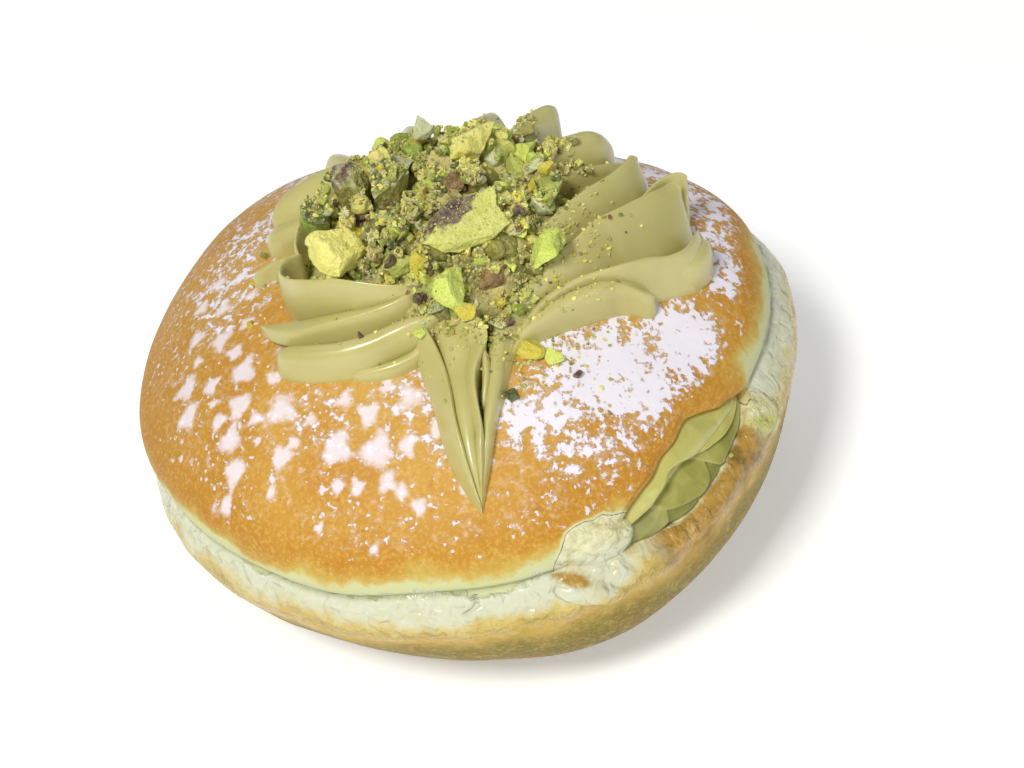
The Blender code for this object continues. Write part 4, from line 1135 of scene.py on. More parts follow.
BLADES: dict[str, Blade] = {                # anticlockwise from the front right, then the tail
    "right_low": Blade(((6.2, -21.8, 26.4), (9.2, -19.6, 28), (12, -18.1, 28.8), (15.7, -16.5, 29.4),
        (19.7, -15, 29.2), (22.2, -14.2, 28.4), (24.5, -13.7, 27.4), (26.2, -13.4, 26.2),
        (27.4, -12.8, 25)), near=(1.4, 1.8, 2, 1.8, 1.5, 1.1, 1.5, 1.8, 1.5), far=1.4, edge=(1, 1.3, 1.5,
        1.4, 1.3, 1, 1.5, 1.8, 1.3), hollow=(0.5, 0.8), tip=0.88, stoop=0.35, scoop=(0, 0, 0, 0, 0, 0,
        0.3, 0.9, 0.9)),
    "right_curl": Blade(((1.2, -33.9, 21.6), (3.5, -27.3, 25), (5.6, -22.6, 26.6), (8.8, -18.8, 28.2),
        (12, -16.2, 29.4), (15.6, -14.3, 30), (19.7, -12.8, 30.1), (23.3, -12, 30), (26.9, -10.8, 29.2),
        (30.7, -9.4, 27.6), (33.3, -8, 27), (35.1, -5.7, 26.6), (36, -3.4, 26.2)), near=(0.5, 1, 1.3, 1.3,
        1.2, 1.2, 1.2, 1.3, 1.4, 1.5, 1.6, 1.5, 1.2), far=1.6, edge=(0.3, 0.5, 0.7, 0.8, 0.8, 0.8, 0.8,
        0.8, 0.8, 0.7, 0.6, 0.6, 0.6), hollow=(1.2, 1.8), lean=(0, 0, 0, 0.4, 0.8, 1.2, 1.4, 1.2, 0.8,
        0.4, 0.2, 0, 0), tip=0.93, stoop=0.12, curl=(0, 0, -0.2, -0.4, -0.5, -0.6, -0.7, -0.7, -0.5, -0.2,
        0.2, 0.5, 0.6)),
    "right_bulb": Blade(((23, -9.8, 26.6), (26.6, -9.4, 26.6), (30, -8.8, 25.8), (33.2, -7.4, 25.2),
        (35.4, -5, 24.8), (36.4, -2.4, 24.4)), near=(1, 1.4, 2, 2.3, 2, 1.3), far=(2, 2, 2.2, 2.4, 2.2,
        1.6), edge=(0.8, 1.2, 1.8, 2.1, 2, 1.3), hollow=(0.6, 0.8), tip=0.84, stoop=0.3),
    "right_broad": Blade(((2.1, -31.5, 22.6), (3.6, -28.6, 24.4), (5.1, -24, 26.8), (6.2, -21.1, 28),
        (8, -17.7, 29.2), (10.5, -14.5, 30.4), (13.4, -11.9, 31.4), (15.8, -10, 32), (18.6, -7.7, 32.4),
        (21.2, -5.4, 32.5), (23.5, -4.1, 32.4), (25.6, -3, 32), (28.9, -1, 31.2), (32.2, 1, 30.2),
        (34.6, 3, 29.6)), near=(1, 1.6, 2.4, 2.8, 3.4, 4.2, 5, 5.6, 6, 6.2, 6.2, 6, 5.4, 4.4, 2.6),
        far=(1, 1.4, 2, 2.4, 3, 3, 3, 3, 3, 3, 3, 2.8, 2.4, 2, 1.6), edge=(0.3, 0.4, 0.4, 0.4, 0.5, 0.5,
        0.5, 0.5, 0.5, 0.5, 0.5, 0.5, 0.5, 0.5, 0.5), hollow=(0.9, 1.3), lean=(0, 0, 0, 0, 0.4, 0.8, 1.2,
        1.2, 1.2, 1, 0.8, 0.6, 0.4, 0.2, 0), tip=0.96, stoop=0.04, curl=(0, 0, 0, 0, 0, 0, 0, 0, 0, 0, 0,
        0.3, 0.7, 1.2, 1.6)),
    "right_flap": Blade(((29, 2.4, 29), (31.6, 4.2, 29.8), (34, 5.2, 29.8), (35.8, 5.2, 29.2)), near=1.6,
        far=1.6, edge=0.5, hollow=(1, 1), tip=0.9, stoop=0.05),
    "right_tall": Blade(((8, -10.6, 32.2), (11.7, -7.3, 32.8), (14.6, -4.8, 33.2), (18.3, -1.6, 33.4),
        (21.1, 0.8, 33.2), (25.1, 3.8, 32.6), (27.7, 6.2, 32), (29.2, 8.2, 31.6)), near=(3.4, 4.2, 4.8,
        5.2, 5.2, 4.8, 4, 2.2), far=(3, 3, 3, 3, 3, 2.8, 2.2, 1.4), edge=(0.6, 0.6, 0.6, 0.6, 0.6, 0.6,
        0.6, 0.5), hollow=(0.75, 1.2), lean=(0.8, 1, 1.2, 1.2, 1, 0.8, 0.4, 0), tip=0.95, stoop=0.03,
        curl=(0, 0, 0, 0, 0, 0.2, 0.6, 1)),
    "right_back": Blade(((15, 4, 33), (19.6, 6.2, 33), (23.6, 8.6, 30.6), (26.6, 10.6, 28.8),
        (29, 12, 27.2)), near=2.6, far=3.4, edge=0.8, hollow=(1.1, 1.1), tip=0.85, stoop=0.2),
    "back_right": Blade(((9, 2.6, 35.2), (13.5, 5.4, 35.2), (16.6, 8.8, 34.9), (18.9, 10.6, 34.6),
        (21.6, 12.2, 33.9), (24, 13.4, 33.1), (26.4, 14.8, 32)), near=(2.8, 2.8, 2.8, 2.8, 2.8, 2.6, 2.2),
        far=2.6, edge=(1.4, 1.6, 1.8, 2, 2, 1.9, 1.6), hollow=(0.7, 0.8), tip=0.74, stoop=0.42),
    "back_tall": Blade(((8, 7.4, 36), (10.7, 10.8, 36), (13.3, 14, 35.7), (15.3, 16.7, 35.3),
        (17.1, 18.7, 34.7), (19.2, 20.6, 33.8)), near=(2.6, 2.8, 3, 3, 2.8, 2.4), far=3, edge=(1.2, 1.4,
        1.5, 1.5, 1.4, 1.2), hollow=(0.6, 0.9), tip=0.84, stoop=0.12),
    "back": Blade(((2, 9, 35), (4.4, 14.3, 35.1), (7.5, 19.5, 33.8), (10.4, 25, 30.8)), near=4.2, far=4.2,
        edge=1.1, hollow=(0.7, 1), tip=0.88, stoop=0.15),
    "back_left": Blade(((-3, 9, 33.4), (-3, 15.5, 33), (-3, 21.5, 31.6), (-2.6, 27.4, 28.9)), near=4.4,
        far=4.4, edge=1.1, hollow=(0.7, 1), tip=0.88, stoop=0.15),
    "left_back": Blade(((-7, 7, 33.6), (-10.2, 13, 32.8), (-12.6, 19, 30.8), (-15.2, 24.4, 27.9)),
        near=4.2, far=4.2, edge=1, hollow=(0.7, 1), tip=0.88, stoop=0.15),
    "left_flat": Blade(((-9.1, 10.6, 34.8), (-11.9, 13.2, 34.2), (-15.8, 14.2, 33), (-19.2, 14.4, 31.4),
        (-22, 13.8, 29.8), (-24.6, 12.4, 27.8)), near=(3, 3, 3, 3, 3, 2.4), far=(3.4, 4.2, 5, 5.2, 4.8,
        3.6), edge=1.1, hollow=(1, 0.5), lean=-1, tip=0.82, stoop=0.2),
    "left_rim": Blade(((-8, 6.6, 36), (-11.5, 7.6, 36), (-14.4, 7.4, 35.6), (-17, 6.2, 34.8),
        (-19.1, 4.4, 33.8), (-20.4, 2.4, 32.8), (-21, 0.2, 31.8), (-20.6, -1.8, 31.2)), near=(1, 1.2, 1.4,
        1.4, 1.4, 1.2, 1, 0.8), far=(1, 1, 1.1, 1.1, 1.1, 1, 0.9, 0.7), edge=0.4, hollow=(1, 1), lean=(0,
        0, -0.6, -1, -1.2, -1, -0.4, 0), root=0.8, tip=0.93, stoop=0.05),
    "left_low": Blade(((-17, 7.5, 30.2), (-20.5, 8.6, 28.9), (-23, 9.6, 27.6), (-25.6, 11, 26)), near=2.4,
        far=2.8, edge=1.5, hollow=(0.7, 0.8), tip=0.8),
    "left_torn": Blade(((-19, 2.6, 28.4), (-22.2, 3.4, 27.2), (-25.4, 3.8, 25.9), (-28.4, 3.4, 24.4)),
        near=1.3, far=1.5, edge=0.5, hollow=(1.2, 1.2), tip=0.8),
    "left_wall": Blade(((-3.4, -14.2, 33.2), (-7.5, -14.2, 34), (-9.8, -13.9, 34.3), (-12.8, -13, 34.6),
        (-15.3, -11.9, 34.6), (-18, -10.9, 34.2), (-20.2, -9.7, 33.6), (-22.2, -8.1, 32.8),
        (-23.4, -6.1, 32.2), (-23.3, -3.9, 31.8), (-22.2, -2.4, 31.6), (-20.2, -1.4, 31.4)), near=(1, 1.2,
        1.4, 1.6, 1.7, 1.7, 1.6, 1.4, 1.2, 1.1, 1, 0.8), far=(1.6, 1.6, 1.6, 1.6, 1.6, 1.6, 1.5, 1.4, 1.3,
        1.2, 1, 0.8), edge=0.42, hollow=(0.55, 0.8), lean=(0.4, 0.4, 0.4, 0.5, 0.7, 0.9, 1.1, 1.2, 1.1,
        0.8, 0.4, 0), root=0.9, tip=0.95, stoop=0.06),
    "left_lens": Blade(((-1.6, -12.4, 33.8), (-3.8, -13.8, 33.2), (-7.6, -15.3, 32.2),
        (-12.2, -15.5, 31.1), (-17.4, -14.7, 29.7), (-21.8, -13.9, 28.3), (-23.9, -12.9, 27.8),
        (-25.9, -11.4, 27.2), (-27.4, -9.6, 26.6)), near=(2, 2.4, 3, 3.6, 4.2, 4.6, 4.4, 3.6, 2),
        far=(0.9, 0.9, 0.9, 0.8, 0.8, 0.7, 0.7, 0.6, 0.5), edge=0.45, hollow=(0.4, 1), root=0.9, tip=0.72,
        stoop=0.05, deep=(30, 30, 16, 6, 4, 3.2, 2.8, 2.4, 2)),
    "left_round": Blade(((-2.6, -16.8, 30.6), (-4.6, -17.5, 30.5), (-6.6, -17.6, 30.3),
        (-8.8, -17.9, 29.9), (-12.6, -18.4, 29.2), (-15.9, -18.3, 28.6), (-19.2, -17.5, 28),
        (-21.8, -16.5, 27.4), (-24, -15, 26.4), (-25.2, -13, 25.4)), near=(2, 3, 3.4, 3.4, 3.4, 3.4, 3.4,
        3.4, 3, 2.4), far=(1, 1.4, 1.7, 1.9, 2.1, 2.2, 2.2, 2.1, 1.9, 1.5), edge=(0.6, 0.8, 0.9, 1, 1.2,
        1.2, 1.2, 1.2, 1.1, 0.9), hollow=(0.9, 0.35), root=0.9, tip=0.88, stoop=0.4),
    "left_under": Blade(((-3.8, -18.6, 27.6), (-5.6, -19.6, 27), (-7.1, -20.3, 26.4),
        (-10.4, -20.8, 25.8), (-13.8, -20.4, 25.2), (-16.6, -19, 24.8)), near=2.2, far=0.9, edge=0.7,
        hollow=(0.9, 0.5), tip=0.7),
    "flute_left": Blade(((-5.4, -16.6, 29.8), (-4.6, -18.8, 29.3), (-3.7, -21.7, 28.6), (-3, -25.2, 27.7),
        (-2.7, -28.6, 26.7), (-2.6, -31.9, 25.4), (-2.2, -36, 23), (-1.5, -39.2, 20),
        (-0.8, -41.2, 16.9)), near=(1.4, 2.4, 3, 3.1, 3, 2.6, 1.8, 0.9, 0.25), far=(0.8, 0.9, 1, 1, 0.9,
        0.8, 0.6, 0.35, 0.2), edge=(0.3, 0.3, 0.35, 0.35, 0.35, 0.3, 0.3, 0.25, 0.15), hollow=(0.95, 1.3),
        root=1, tip=0.96, stoop=0.1, sunk=0.7),
    "flute_valley": Blade(((-1.2, -17.6, 29.4), (-0.6, -21.6, 28.8), (-0.9, -25.2, 27.2),
        (-1, -28.6, 26.1), (-1, -31.9, 24.8), (-1.1, -36, 22.3), (-0.9, -39, 19.6), (-0.7, -40.9, 16.7)),
        near=(2.6, 2.7, 2.1, 1.8, 1.6, 1.1, 0.6, 0.2), far=(2.6, 2.7, 2.1, 1.8, 1.6, 1.1, 0.6, 0.2),
        edge=(2.2, 2.3, 1.9, 1.6, 1.4, 0.9, 0.5, 0.15), hollow=(1, 1), root=1, tip=0.96, stoop=0.1,
        sunk=0.7),
    "flute_curl": Blade(((-0.7, -18.3, 30.6), (1.1, -19.6, 31.2), (2.2, -20.8, 31), (2.5, -22.4, 30),
        (1.9, -23.8, 29.1), (1, -26, 28.2), (0.6, -28, 27.3), (0.5, -30, 26.4), (0.6, -33.4, 24.7),
        (0.2, -36.1, 23), (-0.3, -39, 19.8), (-0.7, -40.9, 16.7)), near=(2.6, 3, 3.6, 3.8, 3.6, 3.2, 2.9,
        2.6, 2, 1.4, 0.7, 0.2), far=(0.6, 0.7, 0.8, 0.8, 0.8, 0.7, 0.7, 0.7, 0.6, 0.5, 0.35, 0.2),
        edge=(0.4, 0.5, 0.55, 0.6, 0.5, 0.35, 0.3, 0.3, 0.3, 0.3, 0.2, 0.15), hollow=(0.8, 1), root=1,
        tip=0.96, stoop=0.1, curl=(0.2, 0.5, 0.9, 1, 0.6, 0.3, 0.2, 0.2, 0.2, 0.1, 0, 0), sunk=0.7),
    "flute_sliver": Blade(((2.2, -21.6, 28.8), (2.8, -24.1, 28.2), (2.5, -26.9, 26.9),
        (1.5, -30.3, 25.2)), near=0.9, far=0.9, edge=0.5, hollow=(0.9, 0.9), root=0.5, tip=0.6, sunk=0.7),
    "flute_right": Blade(((9.6, -12.7, 30.8), (8.2, -15.8, 30.2), (6, -19.4, 29), (4.9, -22, 28.1),
        (4.1, -25, 27.1), (3.2, -28.4, 25.9), (1.9, -32.3, 24), (0.9, -35.4, 21.9), (-0.1, -38.8, 19),
        (-0.7, -40.8, 16.7)), near=(2.4, 2.4, 2.2, 2, 1.7, 1.5, 1.2, 0.8, 0.5, 0.2), far=(1.4, 1.4, 1.4,
        1.3, 1.2, 1, 0.8, 0.6, 0.35, 0.2), edge=(1, 1.1, 1.2, 1.2, 1.1, 0.9, 0.7, 0.5, 0.3, 0.15),
        hollow=(0.8, 0.8), root=1, tip=0.96, stoop=0.1, sunk=0.7),
}


@dataclass
class Rosette:
    """The piped rosette: ridges that swirl out from under the nuts, and the tail at the front."""

    core_centre: tuple[float, float, float] = (0.5, 0.5, 24.0)
    core_radii: tuple[float, float, float] = (21.0, 22.0, 7.2)
    waver: float = 0.14
    blades: dict[str, Blade] = field(default_factory=lambda: BLADES)

    def core(self) -> bpy.types.Object:
        """The low dome that the ridges stand on, an ellipsoid cut off under the crust."""
        turn = around(120)
        latitude = np.linspace(math.asin(-0.9), math.radians(88), 30)[:, None]
        rings = ellipsoid(self.core_radii, latitude, turn)
        return skin_rings("piped_swirl", rings + np.array(self.core_centre))

    def build(self) -> bpy.types.Object:
        """Join the ridges, trim them at the crust, waver them a little and dress them."""
        cream = self.core()
        combine(cream, [skin_rings(name, blade.rings()) for name, blade in self.blades.items()], Join.UNION)
        angle = around(160) - math.pi
        latitude = np.linspace(-0.2, math.pi / 2 - 0.01, 70)[:, None] * np.ones_like(angle)
        crust = BUN.points(np.broadcast_to(angle, latitude.shape), latitude, -0.15)
        combine(cream, [skin_rings("crust_room", crust)], Join.CUT)
        points, normals = mesh_points(cream), mesh_normals(cream)
        shake = value_noise(points, 7.0, 51) + 0.4 * value_noise(points, 2.5, 52)
        move_points(cream, points + normals * (self.waver * shake)[:, None])
        cream.data.shade_smooth()
        cream.data.set_sharp_from_angle(angle=math.radians(38))
        finish_piece(cream, CreamFinish().build(), ("piped_cream",))
        return cream


class Nut(Enum):
    """Colours of chopped pistachio."""

    BUTTER = (254, 244, 136)
    YELLOW = (228, 212, 70)
    LIME = (222, 238, 108)
    GREEN = (150, 174, 58)
    SAGE = (182, 190, 92)
    OLIVE = (150, 144, 66)
    DARK = (74, 92, 40)
    TAN = (212, 198, 126)
    PALE = (228, 230, 122)
    BROWN = (128, 92, 56)
    PURPLE = (84, 52, 58)
    DUSTY = (206, 212, 168)


@dataclass(frozen=True)
class NutFinish:
    """Chopped nut in the colour that each piece brings along."""

    name: str = "chopped_pistachio"
    rough: float = 0.62
    pale: Colour = (236, 228, 160)
    shade: Colour = (96, 92, 36)

    def build(self) -> bpy.types.Material:
        """Make the material: the stored tint, mottled, with a crumbly relief."""
        paint = Paint(self.name)
        tint = paint.add("Attribute", {}, "Color", attribute_name="tint")
        base = paint.mix(paint.cloud(0.8, 4.0, 0.65, 0.35, 0.75, 0.0, 0.35), tint, self.pale)
        base = paint.mix(paint.cloud(0.5, 3.0, 0.6, 0.55, 0.8, 0.0, 0.18), base, self.shade)
        paint.set(Base_Color=base, Roughness=self.rough, Subsurface_Weight=0.06,
                  Subsurface_Radius=(0.001, 0.001, 0.0004), Subsurface_Scale=1.0)
        relief = paint.bump(paint.noise(1.3, 4.0, 0.65), 0.8, 0.9)
        relief = paint.bump(paint.noise(0.45, 4.0, 0.65), 0.16, 0.9, relief)
        paint.set(Normal=relief)
        return paint.material


@dataclass(frozen=True)
class Chip:
    """One broken shape to repeat: a ball cut flat by random planes, with a rough skin."""

    points: Array
    faces: Array

    @staticmethod
    def make(seed: int, levels: int, cuts: int, rough: float) -> "Chip":
        """Flatten an icosphere against random planes and shake its skin.

        Args:
            seed: Number of the draw.
            levels: Subdivisions of the icosphere.
            cuts: How many planes cut it.
            rough: Height of the noise on its skin, as a share of its radius.

        Returns:
            A chip of radius about 1.
        """
        draw = np.random.default_rng(seed)
        points, faces = icosphere(levels)
        for _ in range(cuts):
            normal = draw.normal(size=3)
            normal /= np.linalg.norm(normal)
            over = points @ normal - draw.uniform(0.38, 0.78)
            points = points - np.clip(over, 0, None)[:, None] * normal
        skin = value_noise(points + seed * 7.3, 0.5, seed) + 0.5 * value_noise(points, 0.22, seed + 9)
        points = points * (1 + rough * skin)[:, None]
        return Chip(points, faces)


def icosphere(levels: int) -> tuple[Array, Array]:
    """A ball of radius 1 from triangles, each split in four as often as asked."""
    golden = (1 + math.sqrt(5)) / 2
    corners = [(-1, golden, 0), (1, golden, 0), (-1, -golden, 0), (1, -golden, 0), (0, -1, golden),
               (0, 1, golden), (0, -1, -golden), (0, 1, -golden), (golden, 0, -1), (golden, 0, 1),
               (-golden, 0, -1), (-golden, 0, 1)]
    points = np.array(corners) / math.hypot(1, golden)
    faces = np.array([(0, 11, 5), (0, 5, 1), (0, 1, 7), (0, 7, 10), (0, 10, 11), (1, 5, 9), (5, 11, 4),
                      (11, 10, 2), (10, 7, 6), (7, 1, 8), (3, 9, 4), (3, 4, 2), (3, 2, 6), (3, 6, 8),
                      (3, 8, 9), (4, 9, 5), (2, 4, 11), (6, 2, 10), (8, 6, 7), (9, 8, 1)])
    for _ in range(levels):
        pairs = np.sort(np.concatenate([faces[:, [0, 1]], faces[:, [1, 2]], faces[:, [2, 0]]]), axis=1)
        edges, number = np.unique(pairs, axis=0, return_inverse=True)
        number = number.reshape(3, -1) + len(points)
        middle = points[edges].mean(axis=1)
        points = np.concatenate([points, middle / np.linalg.norm(middle, axis=1)[:, None]])
        a, b, c = faces.T
        ab, bc, ca = number
        faces = np.concatenate([np.stack(part, axis=1) for part in
                                ((a, ab, ca), (b, bc, ab), (c, ca, bc), (ab, bc, ca))])
    return points, faces


def blend(first: Any, second: Any, share: Array) -> Array:
    """Go from the first colour to the second by a share for each row."""
    return np.array(first) * (1 - share) + np.array(second) * share


def random_turns(count: int, draw: np.random.Generator) -> Array:
    """Evenly random rotation matrices, from unit quaternions."""
    parts = draw.normal(size=(count, 4))
    w, x, y, z = (parts / np.linalg.norm(parts, axis=1)[:, None]).T
    rows = [1 - 2 * (y * y + z * z), 2 * (x * y - z * w), 2 * (x * z + y * w),
            2 * (x * y + z * w), 1 - 2 * (x * x + z * z), 2 * (y * z - x * w),
            2 * (x * z - y * w), 2 * (y * z + x * w), 1 - 2 * (x * x + y * y)]
    return np.stack(rows, axis=-1).reshape(-1, 3, 3)


@dataclass
class Litter:
    """Many small pieces of nut that become one mesh."""

    name: str
    chips: list[Chip]
    seed: int
    points: list[Array] = field(default_factory=list)
    faces: list[Array] = field(default_factory=list)
    tints: list[Array] = field(default_factory=list)
    count: int = 0

    def lay(self, places: Array, sizes: Array, colours: Array) -> None:
        """Lay a chip at each place, turned at random.

        Args:
            places: Middles of the pieces, in millimetres.
            sizes: Three half sizes for each piece.
            colours: A linear colour for each piece.
        """
        draw = np.random.default_rng(self.seed)
        turns = random_turns(len(places), draw)
        kinds = draw.integers(0, len(self.chips), len(places))
        for kind, chip in enumerate(self.chips):
            chosen = np.nonzero(kinds == kind)[0]
            if not len(chosen):
                continue
            body = chip.points[None] * sizes[chosen][:, None, :]
            body = np.einsum("nij,nkj->nki", turns[chosen], body) + places[chosen][:, None, :]
            size = len(chip.points)
            first = self.count + np.arange(len(chosen)) * size
            self.points.append(body.reshape(-1, 3))
            self.faces.append((chip.faces[None] + first[:, None, None]).reshape(-1, 3))
            self.tints.append(np.repeat(colours[chosen], size, axis=0))
            self.count += size * len(chosen)

    def build(self, material: bpy.types.Material, slot: str, nodes: Sequence[str] = ()) -> bpy.types.Object:
        """Join what was laid into one dressed piece."""
        mesh = new_mesh(self.name, np.concatenate(self.points), NO_QUADS, np.concatenate(self.faces))
        piece = new_object(self.name, mesh)
        set_tints(piece, np.concatenate(self.tints))
        mesh.set_sharp_from_angle(angle=math.radians(28))
        finish_piece(piece, material, nodes)
        return piece


def pick_colours(draw: np.random.Generator, count: int, kinds: dict[Nut, float]) -> Array:
    """Draw a colour for each piece by weight, and shift each a little in brightness."""
    names = list(kinds)
    weights = np.array([kinds[name] for name in names])
    palette = np.array([linear(name.value) for name in names])
    colours = palette[draw.choice(len(names), count, p=weights / weights.sum())].copy()
    colours[:, :3] *= draw.uniform(0.75, 1.2, (count, 1))
    return colours


class Kernel(NamedTuple):
    """One large piece of nut: place, half sizes, turn in degrees, flesh, skin and its side."""

    centre: tuple[float, float, float]
    half_size: tuple[float, float, float]
    turn: tuple[float, float, float]
    seed: int
    flesh: Nut
    skin: Nut
    skin_way: tuple[float, float, float] = (0.0, 0.0, 0.0)
    dust: float = 0.0


class Plan(NamedTuple):
    """One kind of litter: how many, half sizes in millimetres, shape, reach, draw and colours."""

    name: str
    count: int
    small: float
    large: float
    levels: int
    rough: float
    reach: float                             # share of the heap's outline that it fills
    seed: int
    kinds: dict[Nut, float]


@dataclass
class NutHeap:
    """The chopped pistachios: large kernels, chunks, crumbs and powder on a rough core."""

    centre: tuple[float, float] = (0.5, 1.2)
    radii: tuple[float, float] = (18.2, 19.6)
    rim: float = 28.2
    rise: float = 8.8
    foot: tuple[float, float] = (25.0, 26.0)     # heights of the two rings that close it below
    # painted shade seen in the gaps between the crumbs
    hollow_shade: Colour = (112, 108, 46)
    mottle: tuple = (0.72, 0.78, 0.42, 1.0)      # how far darker flesh differs, by channel
    outline: tuple = (
        (-180, 20), (-168, 20.2), (-155, 19.2), (-140, 17.8), (-128, 16.2), (-115, 17), (-108, 18.6),
        (-98, 21.6), (-88, 23.2), (-77, 23.4), (-67, 20.5), (-51, 18), (-39, 16.8), (-27, 15.6),
        (-15, 15.6), (1, 18), (14, 22.5), (22, 21.5), (37, 20), (52, 21), (64, 19.6), (80, 17.9),
        (102, 15.6), (130, 15), (146, 16.2), (162, 18.6), (175, 20.2), (180, 20))
    kernels: dict[str, Kernel] = field(default_factory=lambda: {
        "kernel_chunk": Kernel((-14.4, -7.4, 36.4), (4.1, 3.7, 3.8), (20, 15, 10), 3,
                               Nut.BUTTER, Nut.BROWN, (0.2, 0.6, -0.8)),
        "kernel_dark": Kernel((-17.2, 0.6, 34.6), (2.6, 2.6, 3.6), (10, -12, 0), 5,
                              Nut.GREEN, Nut.DARK, (0.1, -0.3, 0.9), 0.35),
        "kernel_skin": Kernel((-12.4, 3.4, 37.0), (2.7, 3.1, 3.9), (-15, 8, 20), 8,
                              Nut.OLIVE, Nut.PURPLE, (-0.3, 0.2, 0.8), 0.5),
        "kernel_dusted": Kernel((-7.0, 1.2, 39.2), (2.7, 3.4, 3.4), (12, 20, -15), 9,
                                Nut.OLIVE, Nut.DARK, (-0.3, -0.2, 0.7), 0.6),
        "kernel_back": Kernel((5.6, 7.2, 39.2), (4.4, 3.4, 3.1), (10, 0, 25), 12,
                              Nut.BUTTER, Nut.GREEN, (-0.4, 0.3, 0.4), 0.2),
        "kernel_half": Kernel((4.0, -8.2, 38.6), (6.4, 3.4, 3.2), (18, -8, 14), 14,
                              Nut.PALE, Nut.PURPLE, (-0.72, 0.25, 0.60), 0.1),
        "kernel_cube": Kernel((-0.6, -17.4, 34.6), (3.4, 2.6, 2.8), (24, 4, -6), 17,
                              Nut.LIME, Nut.GREEN, (-0.9, -0.1, 0.0)),
        "kernel_side": Kernel((13.2, -11.8, 34.2), (2.9, 2.2, 2.2), (14, -20, 32), 21,
                              Nut.LIME, Nut.GREEN, (0.6, -0.4, 0.2))})

    def height(self, x: Array, y: Array) -> Array:
        """The plain dome: a low superellipse with slow lumps."""
        share = ((x - self.centre[0]) / self.radii[0]) ** 2 + ((y - self.centre[1]) / self.radii[1]) ** 2
        uneven = 1.5 * np.sin(0.42 * x + 1.0) * np.sin(0.37 * y + 0.6)
        return self.rim + (self.rise + uneven) * np.clip(1 - share, 0, 1) ** 0.6

    def build_core(self, material: bpy.types.Material) -> bpy.types.Object:
        """The core: the dome with relief as fine as its crumbs, closed under the cream."""
        turn = around(300)
        share = np.concatenate([[0.9, 0.97], np.linspace(0.98, 0.01, 90)])[:, None]
        x = self.centre[0] + self.radii[0] * share * np.cos(turn)
        y = self.centre[1] + self.radii[1] * share * np.sin(turn)
        z = self.height(x, y)
        z[0], z[1] = self.foot
        places = np.stack([x, y, z], axis=-1)
        z[2:] += 0.75 * fractal(places, 3.4, 3, 61)[2:] + 0.25 * np.abs(value_noise(places, 0.9, 65)[2:])
        core = skin_rings("nut_core", np.stack([x, y, z], axis=-1))
        points = mesh_points(core)
        # Colour: painted shade between the crumbs, mixed by noise with tan crumb colour.
        share = smooth_step(fractal(points, 3.0, 3, 66), -0.6, 0.7)[:, None]
        set_tints(core, blend(linear(self.hollow_shade), linear(Nut.TAN.value), share))
        finish_piece(core, material, ("pistachio_heap",))
        return core

    def build_kernels(self, material: bpy.types.Material) -> list[bpy.types.Object]:
        """The large pieces: cut and roughened balls with skin on one side and dust on top."""
        pieces = []
        for name, kernel in self.kernels.items():
            chip = Chip.make(kernel.seed, 5, 9, 0.10)
            pitch, roll, yaw = (math.radians(angle) for angle in kernel.turn)
            turn = np.array(Matrix.Rotation(yaw, 3, "Z") @ Matrix.Rotation(roll, 3, "Y")
                            @ Matrix.Rotation(pitch, 3, "X"))
            crumbly = 1 + 0.07 * fractal(chip.points, 0.7, 2, kernel.seed)
            crumbly = crumbly + 0.035 * fractal(chip.points, 0.16, 2, 44)
            body = chip.points * crumbly[:, None] * np.array(kernel.half_size) * 1.12
            points = body @ turn.T + np.array(kernel.centre)
            piece = new_object(name + "_nut", new_mesh(name + "_nut", points, NO_QUADS, chip.faces))
            facing = mesh_normals(piece)
            out = chip.points / np.linalg.norm(chip.points, axis=1)[:, None] @ turn.T
            way = (0.75 * out + 0.25 * facing) @ np.array(kernel.skin_way)
            way = way + 0.16 * fractal(points, 2.0, 3, kernel.seed)
            skin = smooth_step(way, 0.50, 0.62)[:, None] * (1.0 if any(kernel.skin_way) else 0.0)
            dust = smooth_step(fractal(points, 0.9, 3, 71) + facing[:, 2], 0.5, 1.1)[:, None] * kernel.dust
            mottle = smooth_step(fractal(points, 2.4, 4, kernel.seed + 40), -0.1, 0.8)[:, None] * 0.48
            flesh = np.array(linear(kernel.flesh.value))
            tints = blend(flesh, flesh * np.array(self.mottle), mottle)
            tints = blend(blend(tints, linear(kernel.skin.value), skin), linear(Nut.DUSTY.value), dust)
            set_tints(piece, tints)
            finish_piece(piece, material, (name,))
            pieces.append(piece)
        return pieces

    def spread_places(self, draw: np.random.Generator, count: int, reach: float) -> tuple[Array, Array]:
        """Random places in the heap's outline, whose radius runs through the listed angles."""
        angle = draw.uniform(-math.pi, math.pi, count)
        knots = np.array(self.outline)
        radius = np.interp(np.degrees(angle), knots[:, 0], knots[:, 1])
        away = np.sqrt(draw.uniform(0, 1, count)) * reach * radius + 0.5 * draw.normal(size=count)
        return self.centre[0] + away * np.cos(angle), self.centre[1] + away * np.sin(angle)

